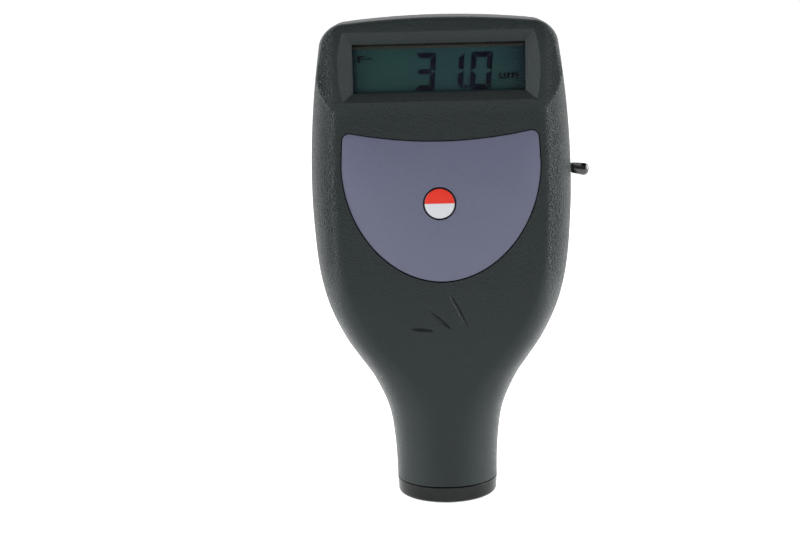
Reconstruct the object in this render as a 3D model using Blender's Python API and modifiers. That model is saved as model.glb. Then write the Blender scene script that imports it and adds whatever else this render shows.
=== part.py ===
"""Coating thickness gauge: a hand-held body of two moulded shells on a round neck, with a sprung
measuring probe in the nose, a segment display in a raised pod, one round key and two small cells.

Metres, +Z up. The display faces -Y. The origin is the flat end of the probe, in the plane that
the nose collar stands on."""

import math

import bmesh
import bpy
from mathutils import Matrix, Vector

# Walls and clearances
GAP = 0.0003
FRONT_WALL = 0.0018
REAR_WALL = 0.0024

# Body outline, widths as half widths about x = 0
BODY_TOP = 0.1222
BODY_HALF_WIDTH = 0.03265
BODY_HALF_DEPTH = 0.0135
TOP_HALF_WIDTH = 0.0289
NECK_STEP = 0.0006
NECK_RADIUS = BODY_HALF_DEPTH - NECK_STEP
NECK_FLAT = 0.0008
FLARE_BOTTOM = 0.0042
FLARE_TOP = 0.080
SIDE_ROUND = 0.010
TOP_CORNER = 0.005
TOP_EDGE_ROUND = 0.0045
TOP_ARCH = 0.0025
TAPER_POWER = 1.9
# Share of the flare's height, and share of the widening that is reached there
FLARE_CURVE = ((0, 0), (0.146, 0.026), (0.25, 0.094), (0.356, 0.275), (0.425, 0.455),
               (0.493, 0.627), (0.6, 0.816), (0.72, 0.93), (0.867, 0.983), (1, 1))
LIP_THICKNESS = 0.0009
LIP_REACH = 0.0015
LIP_ROOT = 0.0012

# Display pod, the raised face round the display. A drop is measured down from the body's top
POD_RISE = 0.00055
POD_SINK = 0.00005
POD_OVERHANG = 0.0003
POD_HALF_WIDTH = 0.0299
POD_TOP_HALF_WIDTH = 0.0285
POD_DROP = 0.0256
POD_LOWER_CORNER = 0.012
POD_CORNER = 0.006
POD_EDGE_ROUND = 0.0004

# Display opening and its bevelled frame
DISPLAY_DROP = 0.0120
OPENING_HALF_WIDTH = 0.0210
OPENING_HALF_HEIGHT = 0.0059
FRAME_SIDE_SPREAD = 0.0036
FRAME_TOP_SPREAD = 0.0028
FRAME_BOTTOM_SPREAD = 0.0024
FRAME_DEPTH = 0.0019
WINDOW_THICKNESS = BODY_HALF_DEPTH * 0.074
WINDOW_OVERLAP = 0.0016
GLASS_THICKNESS = BODY_HALF_DEPTH * 0.148
GLASS_OVERLAP = 0.0019
HOLDER_WALL = 0.0011
STRIP_HALF_WIDTH = 0.019
STRIP_HEIGHT = 0.002

# Label plate in its recess
LABEL_HALF_WIDTH = 0.02435
LABEL_TOP_HALF_WIDTH = 0.0240
LABEL_TOP_DROP = 0.0299
LABEL_SIDE = 0.0058
LABEL_POINT = 0.0290
LABEL_SMILE = 0.0028
LABEL_CORNER = 0.0018
LABEL_POWER = 1.95
LABEL_RECESS = 0.0009
LABEL_THICKNESS = 0.0005

# Key and its switch
KEY_X = -0.0005
KEY_DROP = 0.0452
KEY_RADIUS = 0.00378
KEY_CLEARANCE = 0.00035
KEY_PROUD = 0.0002
KEY_FLANGE_RADIUS = 0.0049
KEY_FLANGE_THICKNESS = 0.0008
KEY_POST_RADIUS = 0.0016
KEY_TRAVEL = 0.0005
SWITCH_SIZE = 0.006
SWITCH_DEPTH = 0.0027
STEM_RADIUS = 0.0015
STEM_PROUD = 0.0006
STEM_INSIDE = 0.0008

# Three moulded marks under the label: middle x, middle z, half length, lean in degrees
MARKS = ((-0.0011, 0.0477, 0.0038, -39.5), (0.0036, 0.0497, 0.0046, -63.5), (-0.0054, 0.0452, 0.0029, -6))
MARK_HALF_WIDTH = 0.0007
MARK_DEPTH = 0.0005

# Main board and what it carries, whose drops are measured from the board's top
BOARD_FRONT = BODY_HALF_DEPTH * 0.37
BOARD_THICKNESS = 0.0016
BOARD_LENGTH = 0.060
BOARD_DROP = 0.0042
BOARD_MARGIN = 0.0052
BOARD_SCREW_DROPS = (0.0545, 0.0205)
BOARD_BOSS_RADIUS = 0.0026
BOARD_SHANK_RADIUS = 0.001
BOARD_SHANK_LENGTH = 0.006
BOARD_HEAD_RADIUS = 0.0021
BOARD_HEAD_HEIGHT = 0.0015
CHIP_SIZE = 0.011
CHIP_HEIGHT = 0.0014
PIN_REACH = 0.0008
PIN_THICKNESS = 0.0003
CHIP_X, CHIP_DROP = -0.0125, 0.035
MEMORY_WIDTH = 0.0042
MEMORY_LENGTH = 0.0050
MEMORY_HEIGHT = 0.0013
MEMORY_X, MEMORY_DROP = 0.0125, 0.0325
CRYSTAL_RADIUS = 0.0012
CRYSTAL_LENGTH = 0.006
CRYSTAL_X, CRYSTAL_DROP = 0.0125, 0.047
BUZZER_RADIUS = 0.0045
BUZZER_HEIGHT = 0.0038
BUZZER_X, BUZZER_DROP = -0.0125, 0.047

# Two small round cells and their bay
CELL_RADIUS = BODY_HALF_DEPTH * 0.389
CELL_LENGTH = 0.0445
CELL_NIPPLE_RADIUS = 0.0019
CELL_NIPPLE = 0.0008
CELL_SPACING = 0.0009
CELL_ROOM = 0.00085
CELL_SIDE_ROOM = 0.00125
BAY_DROP = 0.0183
BAY_HEIGHT = 0.0505
BAY_WALL = 0.0012
PLATE_THICKNESS = 0.0004
PLATE_HALF_SIZE = 0.0042
CELL_SPRING_RADIUS = 0.0028
CELL_SPRING_TURNS = 3
CELL_WIRE_RADIUS = 0.0003

# Battery door on the back
DOOR_OVERLAP = 0.0023
DOOR_UNDERLAP = 0.0033
DOOR_HEADROOM = 0.0049
DOOR_THICKNESS = 0.0018
DOOR_CORNER = 0.0015
SEAT_MARGIN = 0.0012
SEAT_THICKNESS = 0.0018
TAB_X = 0.009
TAB_HALF_WIDTH = 0.002
TAB_LENGTH = 0.0012
TAB_THICKNESS = 0.0008
LATCH_HALF_WIDTH = 0.004
LATCH_THICKNESS = 0.0012
LATCH_INSET = 0.0007
LATCH_DEPTH = 0.0018
GRIP_GROOVES = 5
GRIP_PITCH = 0.0022
GRIP_HALF_WIDTH = 0.007
GRIP_RISE = 0.0052
GRIP_DEPTH = 0.0005
NAIL_RADIUS = 0.004
NAIL_DEPTH = 0.0014

# Case screws
CASE_HIGH_X, CASE_HIGH_DROP = 0.0215, 0.0287
CASE_LOW_X, CASE_LOW_Z = 0.0135, 0.0385
CASE_SHANK_RADIUS = 0.0012
CASE_HEAD_RADIUS = 0.0025
CASE_HEAD_HEIGHT = 0.0016
CASE_HEAD_SINK = 0.0049
CASE_TIP_ROOM = 0.0043
CASE_BOSS_RADIUS = 0.0028
CASE_SLEEVE_WALL = 0.0011

# Nose and probe, turned about the z axis
COLLAR_HEIGHT = 0.0039
COLLAR_SETBACK = 0.00002
COLLAR_RADIUS = NECK_RADIUS - COLLAR_SETBACK
COLLAR_TAPER = 0.00005
COLLAR_CHAMFER = 0.0008
NECK_INSIDE = NECK_RADIUS - REAR_WALL
SPIGOT_MARGIN = 0.0021
SPIGOT_RADIUS = NECK_INSIDE - SPIGOT_MARGIN
NECK_FLOOR = 0.0032
COLLAR_FLANGE_MARGIN = 0.0009
COLLAR_FLANGE_RADIUS = NECK_INSIDE - COLLAR_FLANGE_MARGIN
COLLAR_FLANGE = 0.0013
SLEEVE_RADIUS = BODY_HALF_DEPTH * 8 / 27
SLEEVE_WALL = 0.0013
SLEEVE_BOTTOM = 0.0006
SLEEVE_TOP = 0.0196
GUIDE_WALL = 0.001
GUIDE_BOTTOM = 0.0015
GUIDE_FLANGE_MARGIN = 0.0027
GUIDE_FLANGE_RADIUS = NECK_INSIDE - GUIDE_FLANGE_MARGIN
GUIDE_FLANGE = 0.0011
PROBE_TRAVEL = 0.0032
RING_HEIGHT = 0.0174
RING_THICKNESS = 0.0005
RING_WIDTH = 0.0019
GROOVE_DEPTH = 0.0007
TIP_LAND_RADIUS = 0.0008
TIP_DOME = 0.0014
TIP_LENGTH = 0.005
COIL_LENGTH = 0.0095
COIL_CHEEK = 0.0008
COIL_SINK = 0.0003
SPRING_TURNS = 5
SPRING_WIRE_RADIUS = 0.00035
SPRING_LENGTH = 0.0105
CAP_THICKNESS = 0.0027
CAP_MARGIN = 0.0015
CAP_RADIUS = NECK_INSIDE - CAP_MARGIN
CAP_RIM = 0.0012
LEAD_HOLE_RADIUS = 0.0022
BULKHEAD_THICKNESS = 0.0015

# Strap eye on the right side
LUG_DROP = 0.0387
LUG_NECK_RADIUS = 0.00125
LUG_BARREL_RADIUS = 0.0017
LUG_BARREL_LENGTH = 0.0040
LUG_NECK_SHOWN = 0.0006
LUG_EYE_RADIUS = 0.0007
LUG_FLANGE_RADIUS = 0.0032
LUG_FLANGE_THICKNESS = 0.0012

OUTER_ARC_STEPS = 7
INNER_ARC_STEPS = 4
OUTER_STEPS = 17
INNER_STEPS = 9
EPS = 0.001

# Places that follow from the sizes above
BODY_BOTTOM = COLLAR_HEIGHT + GAP
FLOOR_TOP = BODY_BOTTOM + NECK_FLOOR
POD_TOP = BODY_TOP + POD_OVERHANG
POD_BOTTOM = BODY_TOP - POD_DROP
DISPLAY_MIDDLE = BODY_TOP - DISPLAY_DROP
LABEL_TOP = BODY_TOP - LABEL_TOP_DROP
LABEL_MIDDLE = LABEL_TOP - LABEL_SIDE
KEY_HEIGHT = BODY_TOP - KEY_DROP
LUG_HEIGHT = BODY_TOP - LUG_DROP
BOARD_TOP = BODY_TOP - BOARD_DROP
BOARD_BOTTOM = BOARD_TOP - BOARD_LENGTH
BOARD_SCREW_HEIGHTS = [BOARD_TOP - drop for drop in BOARD_SCREW_DROPS]
CHIP_PLACE = (CHIP_X, BOARD_TOP - CHIP_DROP)
MEMORY_PLACE = (MEMORY_X, BOARD_TOP - MEMORY_DROP)
CRYSTAL_PLACE = (CRYSTAL_X, BOARD_TOP - CRYSTAL_DROP)
BUZZER_PLACE = (BUZZER_X, BOARD_TOP - BUZZER_DROP)
CASE_SCREWS = ((CASE_HIGH_X, BODY_TOP - CASE_HIGH_DROP), (CASE_LOW_X, CASE_LOW_Z))
FRONT_INSIDE = -(BODY_HALF_DEPTH - FRONT_WALL)
REAR_INSIDE = BODY_HALF_DEPTH - REAR_WALL
WINDOW_FRONT = FRONT_INSIDE + GAP
GLASS_FRONT = WINDOW_FRONT + WINDOW_THICKNESS + GAP
HOLDER_FLOOR = GLASS_FRONT + GLASS_THICKNESS + GAP
BOARD_FACE = -BOARD_FRONT
BOARD_BACK = BOARD_FACE + BOARD_THICKNESS
LABEL_FACE = -(BODY_HALF_DEPTH - LABEL_RECESS) - GAP - LABEL_THICKNESS
BAY_TOP = BODY_TOP - BAY_DROP
BAY_BOTTOM = BAY_TOP - BAY_HEIGHT
DOOR_BOTTOM = BAY_BOTTOM - DOOR_UNDERLAP
DOOR_TOP = BAY_TOP + DOOR_HEADROOM
GRIP_BOTTOM = DOOR_BOTTOM + GRIP_RISE
DOOR_INSIDE = BODY_HALF_DEPTH - DOOR_THICKNESS
CELL_X = CELL_RADIUS + CELL_SPACING / 2
CELL_Y = DOOR_INSIDE - CELL_ROOM - CELL_RADIUS
BAY_HALF_WIDTH = CELL_X + CELL_RADIUS + CELL_SIDE_ROOM
BAY_FLOOR = CELL_Y - CELL_RADIUS - GAP - BAY_WALL
DOOR_HALF_WIDTH = BAY_HALF_WIDTH + DOOR_OVERLAP
BOARD_SCREW_X = BAY_HALF_WIDTH + BAY_WALL + GAP + BOARD_HEAD_RADIUS
CASE_HEAD_SEAT = BODY_HALF_DEPTH - CASE_HEAD_SINK
CASE_SHANK_LENGTH = CASE_HEAD_SEAT - FRONT_INSIDE - CASE_TIP_ROOM
SEAT_FACE = DOOR_INSIDE - GAP
DOOR_HINGE_Y = BODY_HALF_DEPTH - DOOR_THICKNESS / 2
DOOR_HINGE_Z = DOOR_TOP - DOOR_THICKNESS / 2
SPRING_BOTTOM = RING_HEIGHT + RING_THICKNESS + GAP
SPRING_TOP = SPRING_BOTTOM + SPRING_LENGTH
SPRING_RADIUS = SLEEVE_RADIUS + SPRING_WIRE_RADIUS + 2 * GAP
CAP_BOTTOM = SPRING_TOP + GAP
BULKHEAD_BOTTOM = CAP_BOTTOM + CAP_THICKNESS + GAP


# Scene, collections and materials

for old in list(bpy.data.objects):
    bpy.data.objects.remove(old, do_unlink=True)

parts = bpy.data.collections.new("coating_thickness_gauge")
cutters = bpy.data.collections.new("cutters")
bpy.context.scene.collection.children.link(parts)
bpy.context.scene.collection.children.link(cutters)


def make_material(name, colour, roughness, metallic=0.0, alpha=1.0):
    material = bpy.data.materials.new(name)
    material.use_nodes = True
    shader = material.node_tree.nodes["Principled BSDF"]
    shader.inputs["Base Color"].default_value = (*colour, 1.0)
    shader.inputs["Roughness"].default_value = roughness
    shader.inputs["Metallic"].default_value = metallic
    shader.inputs["Alpha"].default_value = alpha
    return material


# Mesh helpers

def part_from_mesh(name, mesh, material):
    """An object for a sub-part, or a hidden tool for a Boolean if it has no material."""
    part = bpy.data.objects.new(name, mesh)
    if material is None:
        cutters.objects.link(part)
        part.display_type = "WIRE"
        part.hide_render = True
    else:
        mesh.materials.append(material)
        parts.objects.link(part)
    return part


def part_from_bmesh(name, bm, material=None):
    bmesh.ops.recalc_face_normals(bm, faces=bm.faces)
    mesh = bpy.data.meshes.new(name)
    bm.to_mesh(mesh)
    bm.free()
    mesh.shade_smooth()
    mesh.set_sharp_from_angle(angle=math.radians(35))
    return part_from_mesh(name, mesh, material)


def add_box(bm, low, high):
    low, high = Vector(low), Vector(high)
    size = Matrix.Diagonal((high - low).to_4d())
    size[3][3] = 1
    return bmesh.ops.create_cube(bm, size=1, matrix=Matrix.Translation((low + high) / 2) @ size)["verts"]


def add_rod(bm, start, end, radius, end_radius=None, segments=24):
    """A cylinder, or a cone, from one point to another."""
    start, end = Vector(start), Vector(end)
    along = end - start
    place = Matrix.Translation((start + end) / 2) @ along.to_track_quat("Z", "Y").to_matrix().to_4x4()
    bmesh.ops.create_cone(bm, cap_ends=True, segments=segments, radius1=radius,
                          radius2=radius if end_radius is None else end_radius,
                          depth=along.length, matrix=place)


def box(name, low, high, material=None):
    bm = bmesh.new()
    add_box(bm, low, high)
    return part_from_bmesh(name, bm, material)


def rod(name, start, end, radius, material=None, segments=24):
    bm = bmesh.new()
    add_rod(bm, start, end, radius, segments=segments)
    return part_from_bmesh(name, bm, material)


def turned(name, profile, material, steps=40):
    """Turns a profile of (radius, height) about z. It runs down the outer side, top to bottom."""
    closed = profile[0][0] > 0
    bm = bmesh.new()
    verts = [bm.verts.new((radius, 0, height)) for radius, height in profile]
    for a, b in zip(verts, verts[1:]):
        bm.edges.new((a, b))
    if closed:
        bm.edges.new((verts[-1], verts[0]))
    mesh = bpy.data.meshes.new(name)
    bm.to_mesh(mesh)
    bm.free()
    part = part_from_mesh(name, mesh, material)
    screw = part.modifiers.new("Turn", "SCREW")
    screw.steps = screw.render_steps = steps
    screw.use_merge_vertices = True
    screw.merge_threshold = 0.00001
    return part


def plate(name, outline, front, back, material=None):
    """A flat outline of (x, z) points as a plate from y = front to y = back."""
    curve = bpy.data.curves.new(name, "CURVE")
    curve.dimensions = "2D"
    curve.fill_mode = "BOTH"
    curve.extrude = (back - front) / 2
    spline = curve.splines.new("POLY")
    spline.points.add(len(outline) - 1)
    for point, (x, z) in zip(spline.points, outline):
        point.co = (x, z, 0, 1)
    spline.use_cyclic_u = True
    drawn = bpy.data.objects.new(name, curve)
    bpy.context.scene.collection.objects.link(drawn)
    bpy.context.view_layer.update()
    mesh = bpy.data.meshes.new_from_object(drawn.evaluated_get(bpy.context.evaluated_depsgraph_get()))
    bpy.data.objects.remove(drawn)
    bm = bmesh.new()
    bm.from_mesh(mesh)
    bpy.data.meshes.remove(mesh)
    upright = Matrix.Translation((0, (front + back) / 2, 0)) @ Matrix.Rotation(math.pi / 2, 4, "X")
    bm.transform(upright)
    bmesh.ops.remove_doubles(bm, verts=bm.verts, dist=0.000001)
    bmesh.ops.dissolve_limit(bm, angle_limit=0.001, verts=bm.verts, edges=bm.edges)
    return part_from_bmesh(name, bm, material)


def boolean(part, tool, operation="DIFFERENCE"):
    modifier = part.modifiers.new(tool.name, "BOOLEAN")
    modifier.object = tool
    modifier.operation = operation
    modifier.solver = "EXACT"


def bevel_edges(part, width, wanted, segments=2):
    """Rounds the sharp edges, apart from those along y, whose two ends both pass the test."""
    bm = bmesh.new()
    bm.from_mesh(part.data)
    edges = [e for e in bm.edges if all(wanted(v.co) for v in e.verts)
             and abs(e.verts[0].co.y - e.verts[1].co.y) < e.calc_length() / 2
             and e.calc_face_angle(0) > math.radians(30)]
    bmesh.ops.bevel(bm, geom=edges, offset=width, segments=segments, profile=0.5, affect="EDGES")
    bm.to_mesh(part.data)
    bm.free()


def arc(x, z, radius, start, end, steps):
    """Points on an arc about (x, z), from one angle to another, in degrees."""
    turns = [math.radians(start + (end - start) * i / steps) for i in range(steps + 1)]
    return [(x + radius * math.cos(a), z + radius * math.sin(a)) for a in turns]


def mirrored(half):
    """A closed outline from its right half, given from the bottom up to the top."""
    return half + [(-x, z) for x, z in reversed(half) if x > 0.00001]


# Body form, shared by both shells, the cavity, the lip and the bulkheads

def flare_share(u):
    """Smooth curve through FLARE_CURVE, level at both ends."""
    u = min(max(u, 0), 1)
    slopes = [0]
    for (a, before), (_, _), (b, after) in zip(FLARE_CURVE, FLARE_CURVE[1:], FLARE_CURVE[2:]):
        slopes.append((after - before) / (b - a))
    slopes.append(0)
    i = max(k for k in range(len(FLARE_CURVE) - 1) if FLARE_CURVE[k][0] <= u)
    (a, low), (b, high) = FLARE_CURVE[i], FLARE_CURVE[i + 1]
    step = b - a
    t = (u - a) / step
    return (low * (1 + 2 * t) * (1 - t) ** 2 + slopes[i] * step * t * (1 - t) ** 2
            + high * t * t * (3 - 2 * t) + slopes[i + 1] * step * t * t * (t - 1))


def body_half_width(z):
    if z <= FLARE_TOP:
        u = (z - FLARE_BOTTOM) / (FLARE_TOP - FLARE_BOTTOM)
        return NECK_RADIUS + (BODY_HALF_WIDTH - NECK_RADIUS) * flare_share(u)
    v = (z - FLARE_TOP) / (BODY_TOP - FLARE_TOP)
    return BODY_HALF_WIDTH - (BODY_HALF_WIDTH - TOP_HALF_WIDTH) * v ** TAPER_POWER


def body_half_depth(z):
    u = (z - FLARE_BOTTOM) / (FLARE_TOP - FLARE_BOTTOM)
    return NECK_RADIUS + (BODY_HALF_DEPTH - NECK_RADIUS) * flare_share(u)


def side_round(z):
    """How wide the rounded side is: almost half the round neck, and less where the body is wide."""
    u = (z - FLARE_BOTTOM) / (FLARE_TOP - FLARE_BOTTOM)
    neck_round = NECK_RADIUS - NECK_FLAT
    return neck_round + (SIDE_ROUND - neck_round) * flare_share(u)


def arch_drop(x, z):
    """How far a point near the top is lowered by the gentle arch of the top edge."""
    v = max(z - FLARE_TOP, 0) / (BODY_TOP - FLARE_TOP)
    return TOP_ARCH * (x / BODY_HALF_WIDTH) ** 2 * v * v


def body_section(z, inset_x, inset_y, arc_steps):
    """Front half and rear half of the body's outline at one height, both from left to right."""
    width, depth = body_half_width(z), body_half_depth(z)
    round_x = side_round(z) - inset_x
    round_y = depth - inset_y
    flat = width - inset_x - round_x
    quarter = [math.pi / 2 * i / arc_steps for i in range(arc_steps + 1)]
    left = [(-flat - round_x * math.cos(a), -round_y * math.sin(a)) for a in quarter]
    front = left + [(-x, y) for x, y in reversed(left)]
    front = [(x, y, z - arch_drop(x, z)) for x, y in front]
    return front, [(x, -y, height) for x, y, height in front]


def body_rings(inset, bottom, top, steps, arc_steps):
    """Sections of the body moved inwards by inset, from bottom to top or to the rounded crown."""
    corner_x, corner_y = TOP_CORNER - inset, TOP_EDGE_ROUND - inset
    shoulder = BODY_TOP - inset - corner_x
    last = shoulder if top is None else top
    heights = [bottom]
    if bottom < FLARE_BOTTOM < last:
        heights.append(FLARE_BOTTOM)
    start = heights[-1]
    heights += [start + (last - start) * i / steps for i in range(1, steps + 1)]
    rings = [body_section(z, inset, inset, arc_steps) for z in heights]
    if top is None:
        for i in range(1, 6):
            turn = math.pi / 2 * i / 5
            rings.append(body_section(shoulder + corner_x * math.sin(turn),
                                      inset + corner_x * (1 - math.cos(turn)),
                                      inset + corner_y * (1 - math.cos(turn)), arc_steps))
    return rings


def body_solid(name, inset, bottom, top=None, material=None):
    """Closed loft through the body's sections, with strips across its two ends."""
    outer = material is not None
    arc_steps = OUTER_ARC_STEPS if outer else INNER_ARC_STEPS
    steps = OUTER_STEPS if outer else INNER_STEPS if top is None else 1
    bm = bmesh.new()
    loops = []
    for front, rear in body_rings(inset, bottom, top, steps, arc_steps):
        front_verts = [bm.verts.new(p) for p in front]
        inner = [bm.verts.new(p) for p in rear[1:-1]]
        loops.append((front_verts, [front_verts[0], *inner, front_verts[-1]]))
    count = 2 * arc_steps + 1
    for (front_a, rear_a), (front_b, rear_b) in zip(loops, loops[1:]):
        for i in range(count):
            bm.faces.new((front_a[i], front_a[i + 1], front_b[i + 1], front_b[i]))
            bm.faces.new((rear_a[i + 1], rear_a[i], rear_b[i], rear_b[i + 1]))
    for front, rear in (loops[0], loops[-1]):
        for i in range(count):
            corners = [front[i], front[i + 1], rear[i + 1], rear[i]]
            bm.faces.new(list(dict.fromkeys(corners)))
    return part_from_bmesh(name, bm, material)


def half_space(name, low_y, high_y):
    """A block that takes away everything between two depths."""
    reach = 2 * BODY_HALF_WIDTH
    return box(name, (-reach, low_y, -EPS), (reach, high_y, BODY_TOP + reach))


# Fastener places and the solids that repeat at them

def both_sides(places):
    return [(side * x, z) for x, z in places for side in (-1, 1)]


def rods_at(name, places, start, end, radius, material=None, segments=20):
    """One object with a rod along y at each (x, z)."""
    bm = bmesh.new()
    for x, z in places:
        add_rod(bm, (x, start, z), (x, end, z), radius, segments=segments)
    return part_from_bmesh(name, bm, material)


def screws_at(name, places, seat, shank_radius, shank_length, head_radius, head_height, material):
    """Pan head screws along y that share one turned mesh. The heads' undersides are at y = seat."""
    edge = head_height / 4
    profile = [(0, -head_height / 2), (head_radius / 2, -head_height), (head_radius - edge, -head_height),
               (head_radius, edge - head_height), (head_radius, 0), (shank_radius, 0),
               (shank_radius, shank_length), (0, shank_length)]
    bm = bmesh.new()
    verts = [bm.verts.new((radius, 0, height)) for radius, height in profile]
    edges = [bm.edges.new(pair) for pair in zip(verts, verts[1:])]
    bmesh.ops.spin(bm, geom=verts + edges, cent=(0, 0, 0), axis=(0, 0, 1), angle=2 * math.pi,
                   steps=10, use_merge=True)
    bmesh.ops.remove_doubles(bm, verts=bm.verts, dist=0.000005)
    first = part_from_bmesh(f"{name}_1", bm, material)
    screws = [first]
    for number in range(2, len(places) + 1):
        screws.append(bpy.data.objects.new(f"{name}_{number}", first.data))
        parts.objects.link(screws[-1])
    for screw, (x, z) in zip(screws, places):
        screw.location = (x, seat, z)
        screw.rotation_euler = (math.pi / 2, 0, 0)


CASE_PLACES = both_sides(CASE_SCREWS)
BOARD_PLACES = both_sides([(BOARD_SCREW_X, z) for z in BOARD_SCREW_HEIGHTS])


# Materials

shell_plastic = make_material("shell_plastic", (0.032, 0.037, 0.035), 0.55)
label_film = make_material("label_film", (0.13, 0.135, 0.20), 0.45)
clear_plastic = make_material("clear_plastic", (0.75, 0.80, 0.80), 0.08, alpha=0.35)
display_teal = make_material("display_teal", (0.018, 0.04, 0.045), 0.25)
holder_plastic = make_material("holder_plastic", (0.02, 0.02, 0.022), 0.5)
strip_rubber = make_material("strip_rubber", (0.25, 0.25, 0.27), 0.7)
board_green = make_material("board_green", (0.02, 0.16, 0.06), 0.4)
key_red = make_material("key_red", (0.75, 0.045, 0.02), 0.4)
switch_black = make_material("switch_black", (0.02, 0.02, 0.02), 0.5)
chip_black = make_material("chip_black", (0.015, 0.015, 0.015), 0.6)
can_steel = make_material("can_steel", (0.60, 0.60, 0.60), 0.25, 1.0)
screw_steel = make_material("screw_steel", (0.45, 0.45, 0.46), 0.35, 1.0)
cell_jacket = make_material("cell_jacket", (0.05, 0.06, 0.09), 0.3)
spring_steel = make_material("spring_steel", (0.55, 0.55, 0.56), 0.3, 1.0)
collar_gloss = make_material("collar_gloss", (0.008, 0.012, 0.010), 0.08)
guide_brass = make_material("guide_brass", (0.60, 0.42, 0.16), 0.3, 1.0)
sleeve_steel = make_material("sleeve_steel", (0.62, 0.62, 0.60), 0.25, 1.0)
tip_metal = make_material("tip_metal", (0.50, 0.50, 0.52), 0.15, 1.0)
coil_copper = make_material("coil_copper", (0.55, 0.22, 0.10), 0.35, 1.0)
cap_plastic = make_material("cap_plastic", (0.60, 0.60, 0.56), 0.5)
lug_black = make_material("lug_black", (0.01, 0.01, 0.01), 0.25)


# Front shell

def pod_outline():
    """Outline of the raised display face: arched top, leaning sides and large lower corners."""
    top_x = POD_TOP_HALF_WIDTH - POD_CORNER
    top_z = POD_TOP - arch_drop(top_x, BODY_TOP) - POD_CORNER
    low_x, low_z = POD_HALF_WIDTH - POD_LOWER_CORNER, POD_BOTTOM + POD_LOWER_CORNER
    half = [(0, POD_BOTTOM)]
    half += arc(low_x, low_z, POD_LOWER_CORNER, -90, 0, 8)
    half += arc(top_x, top_z, POD_CORNER, 10, 85, 6)
    half += [(top_x * k / 4, POD_TOP - arch_drop(top_x * k / 4, BODY_TOP)) for k in (3, 2, 1, 0)]
    return mirrored(half)


def pod_face(z):
    """Depth of the pod's face, which leans out from the body's face towards the top."""
    rise = POD_RISE * (z - POD_BOTTOM) / (POD_TOP - POD_BOTTOM)
    return -(BODY_HALF_DEPTH - POD_SINK + rise)


pod = plate("pod_tool", pod_outline(), -BODY_HALF_DEPTH, 0)
for vert in pod.data.vertices:
    if vert.co.y < -BODY_HALF_DEPTH / 2:
        vert.co.y = pod_face(vert.co.z)
bevel_edges(pod, POD_EDGE_ROUND, lambda co: co.y < -BODY_HALF_DEPTH / 2)


def display_frame_cutter():
    """Four sloping sides that narrow from the pod's face to the display opening, then straight on."""
    bm = bmesh.new()
    inner = pod_face(DISPLAY_MIDDLE) + FRAME_DEPTH
    outer = inner - 2 * FRAME_DEPTH
    verts = add_box(bm, (-1, outer, -1), (1, inner, 1))
    for vert in verts:
        spread = 2 if vert.co.y < (inner + outer) / 2 else 0
        side = math.copysign(1, vert.co.x)
        if vert.co.z > 0:
            vert.co.z = DISPLAY_MIDDLE + OPENING_HALF_HEIGHT + spread * FRAME_TOP_SPREAD
        else:
            vert.co.z = DISPLAY_MIDDLE - OPENING_HALF_HEIGHT - spread * FRAME_BOTTOM_SPREAD
        vert.co.x = side * (OPENING_HALF_WIDTH + spread * FRAME_SIDE_SPREAD)
    return part_from_bmesh("display_frame_tool", bm)


def display_box(name, grow, front, back, material=None):
    """A block round the display's middle, grow wider on each side than the opening."""
    x, z = OPENING_HALF_WIDTH + grow, OPENING_HALF_HEIGHT + grow
    return box(name, (-x, front, DISPLAY_MIDDLE - z), (x, back, DISPLAY_MIDDLE + z), material)


def label_outline(grow=0.0):
    """Half a superellipse below, short sides, round corners and a top edge that dips."""
    half = []
    for i in range(11):
        turn = math.pi / 2 * i / 10
        across, down = math.sin(turn) ** (2 / LABEL_POWER), math.cos(turn) ** (2 / LABEL_POWER)
        half.append(((LABEL_HALF_WIDTH + grow) * across, LABEL_MIDDLE - (LABEL_POINT + grow) * down))
    corner_x = LABEL_TOP_HALF_WIDTH - LABEL_CORNER
    corner_z = LABEL_TOP + LABEL_SMILE * (corner_x / LABEL_HALF_WIDTH) ** 2 - LABEL_CORNER
    half += arc(corner_x, corner_z, LABEL_CORNER + grow, 0, 90, 4)
    for k in (4, 3, 2, 1, 0):
        x = corner_x * k / 5
        half.append((x, LABEL_TOP + grow + LABEL_SMILE * (x / LABEL_HALF_WIDTH) ** 2))
    return mirrored(half)


def mark_cutter():
    """Three long pointed hollows, each a thin stretched ball half sunk in the front face."""
    bm = bmesh.new()
    for x, z, half_length, lean in MARKS:
        place = Matrix.Translation((x, -BODY_HALF_DEPTH, z)) @ Matrix.Rotation(-math.radians(lean), 4, "Y")
        size = Matrix.Diagonal((half_length, MARK_DEPTH, MARK_HALF_WIDTH, 1))
        turn = Matrix.Rotation(math.pi / 2, 4, "Y")
        bmesh.ops.create_uvsphere(bm, u_segments=10, v_segments=8, radius=1, matrix=place @ size @ turn)
    return part_from_bmesh("mark_tool", bm)


def probe_bore(name):
    return rod(name, (0, 0, BODY_BOTTOM - EPS), (0, 0, FLOOR_TOP + EPS), SPIGOT_RADIUS + GAP, segments=40)


def lead_bore(name):
    high = BULKHEAD_BOTTOM + BULKHEAD_THICKNESS + EPS
    return rod(name, (0, 0, BULKHEAD_BOTTOM - EPS), (0, 0, high), LEAD_HOLE_RADIUS + GAP)


def lug_bore(name):
    inside = BODY_HALF_WIDTH - REAR_WALL - LIP_THICKNESS - 4 * GAP
    return rod(name, (inside, 0, LUG_HEIGHT), (BODY_HALF_WIDTH + EPS, 0, LUG_HEIGHT),
               LUG_NECK_RADIUS + GAP, segments=16)


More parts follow.
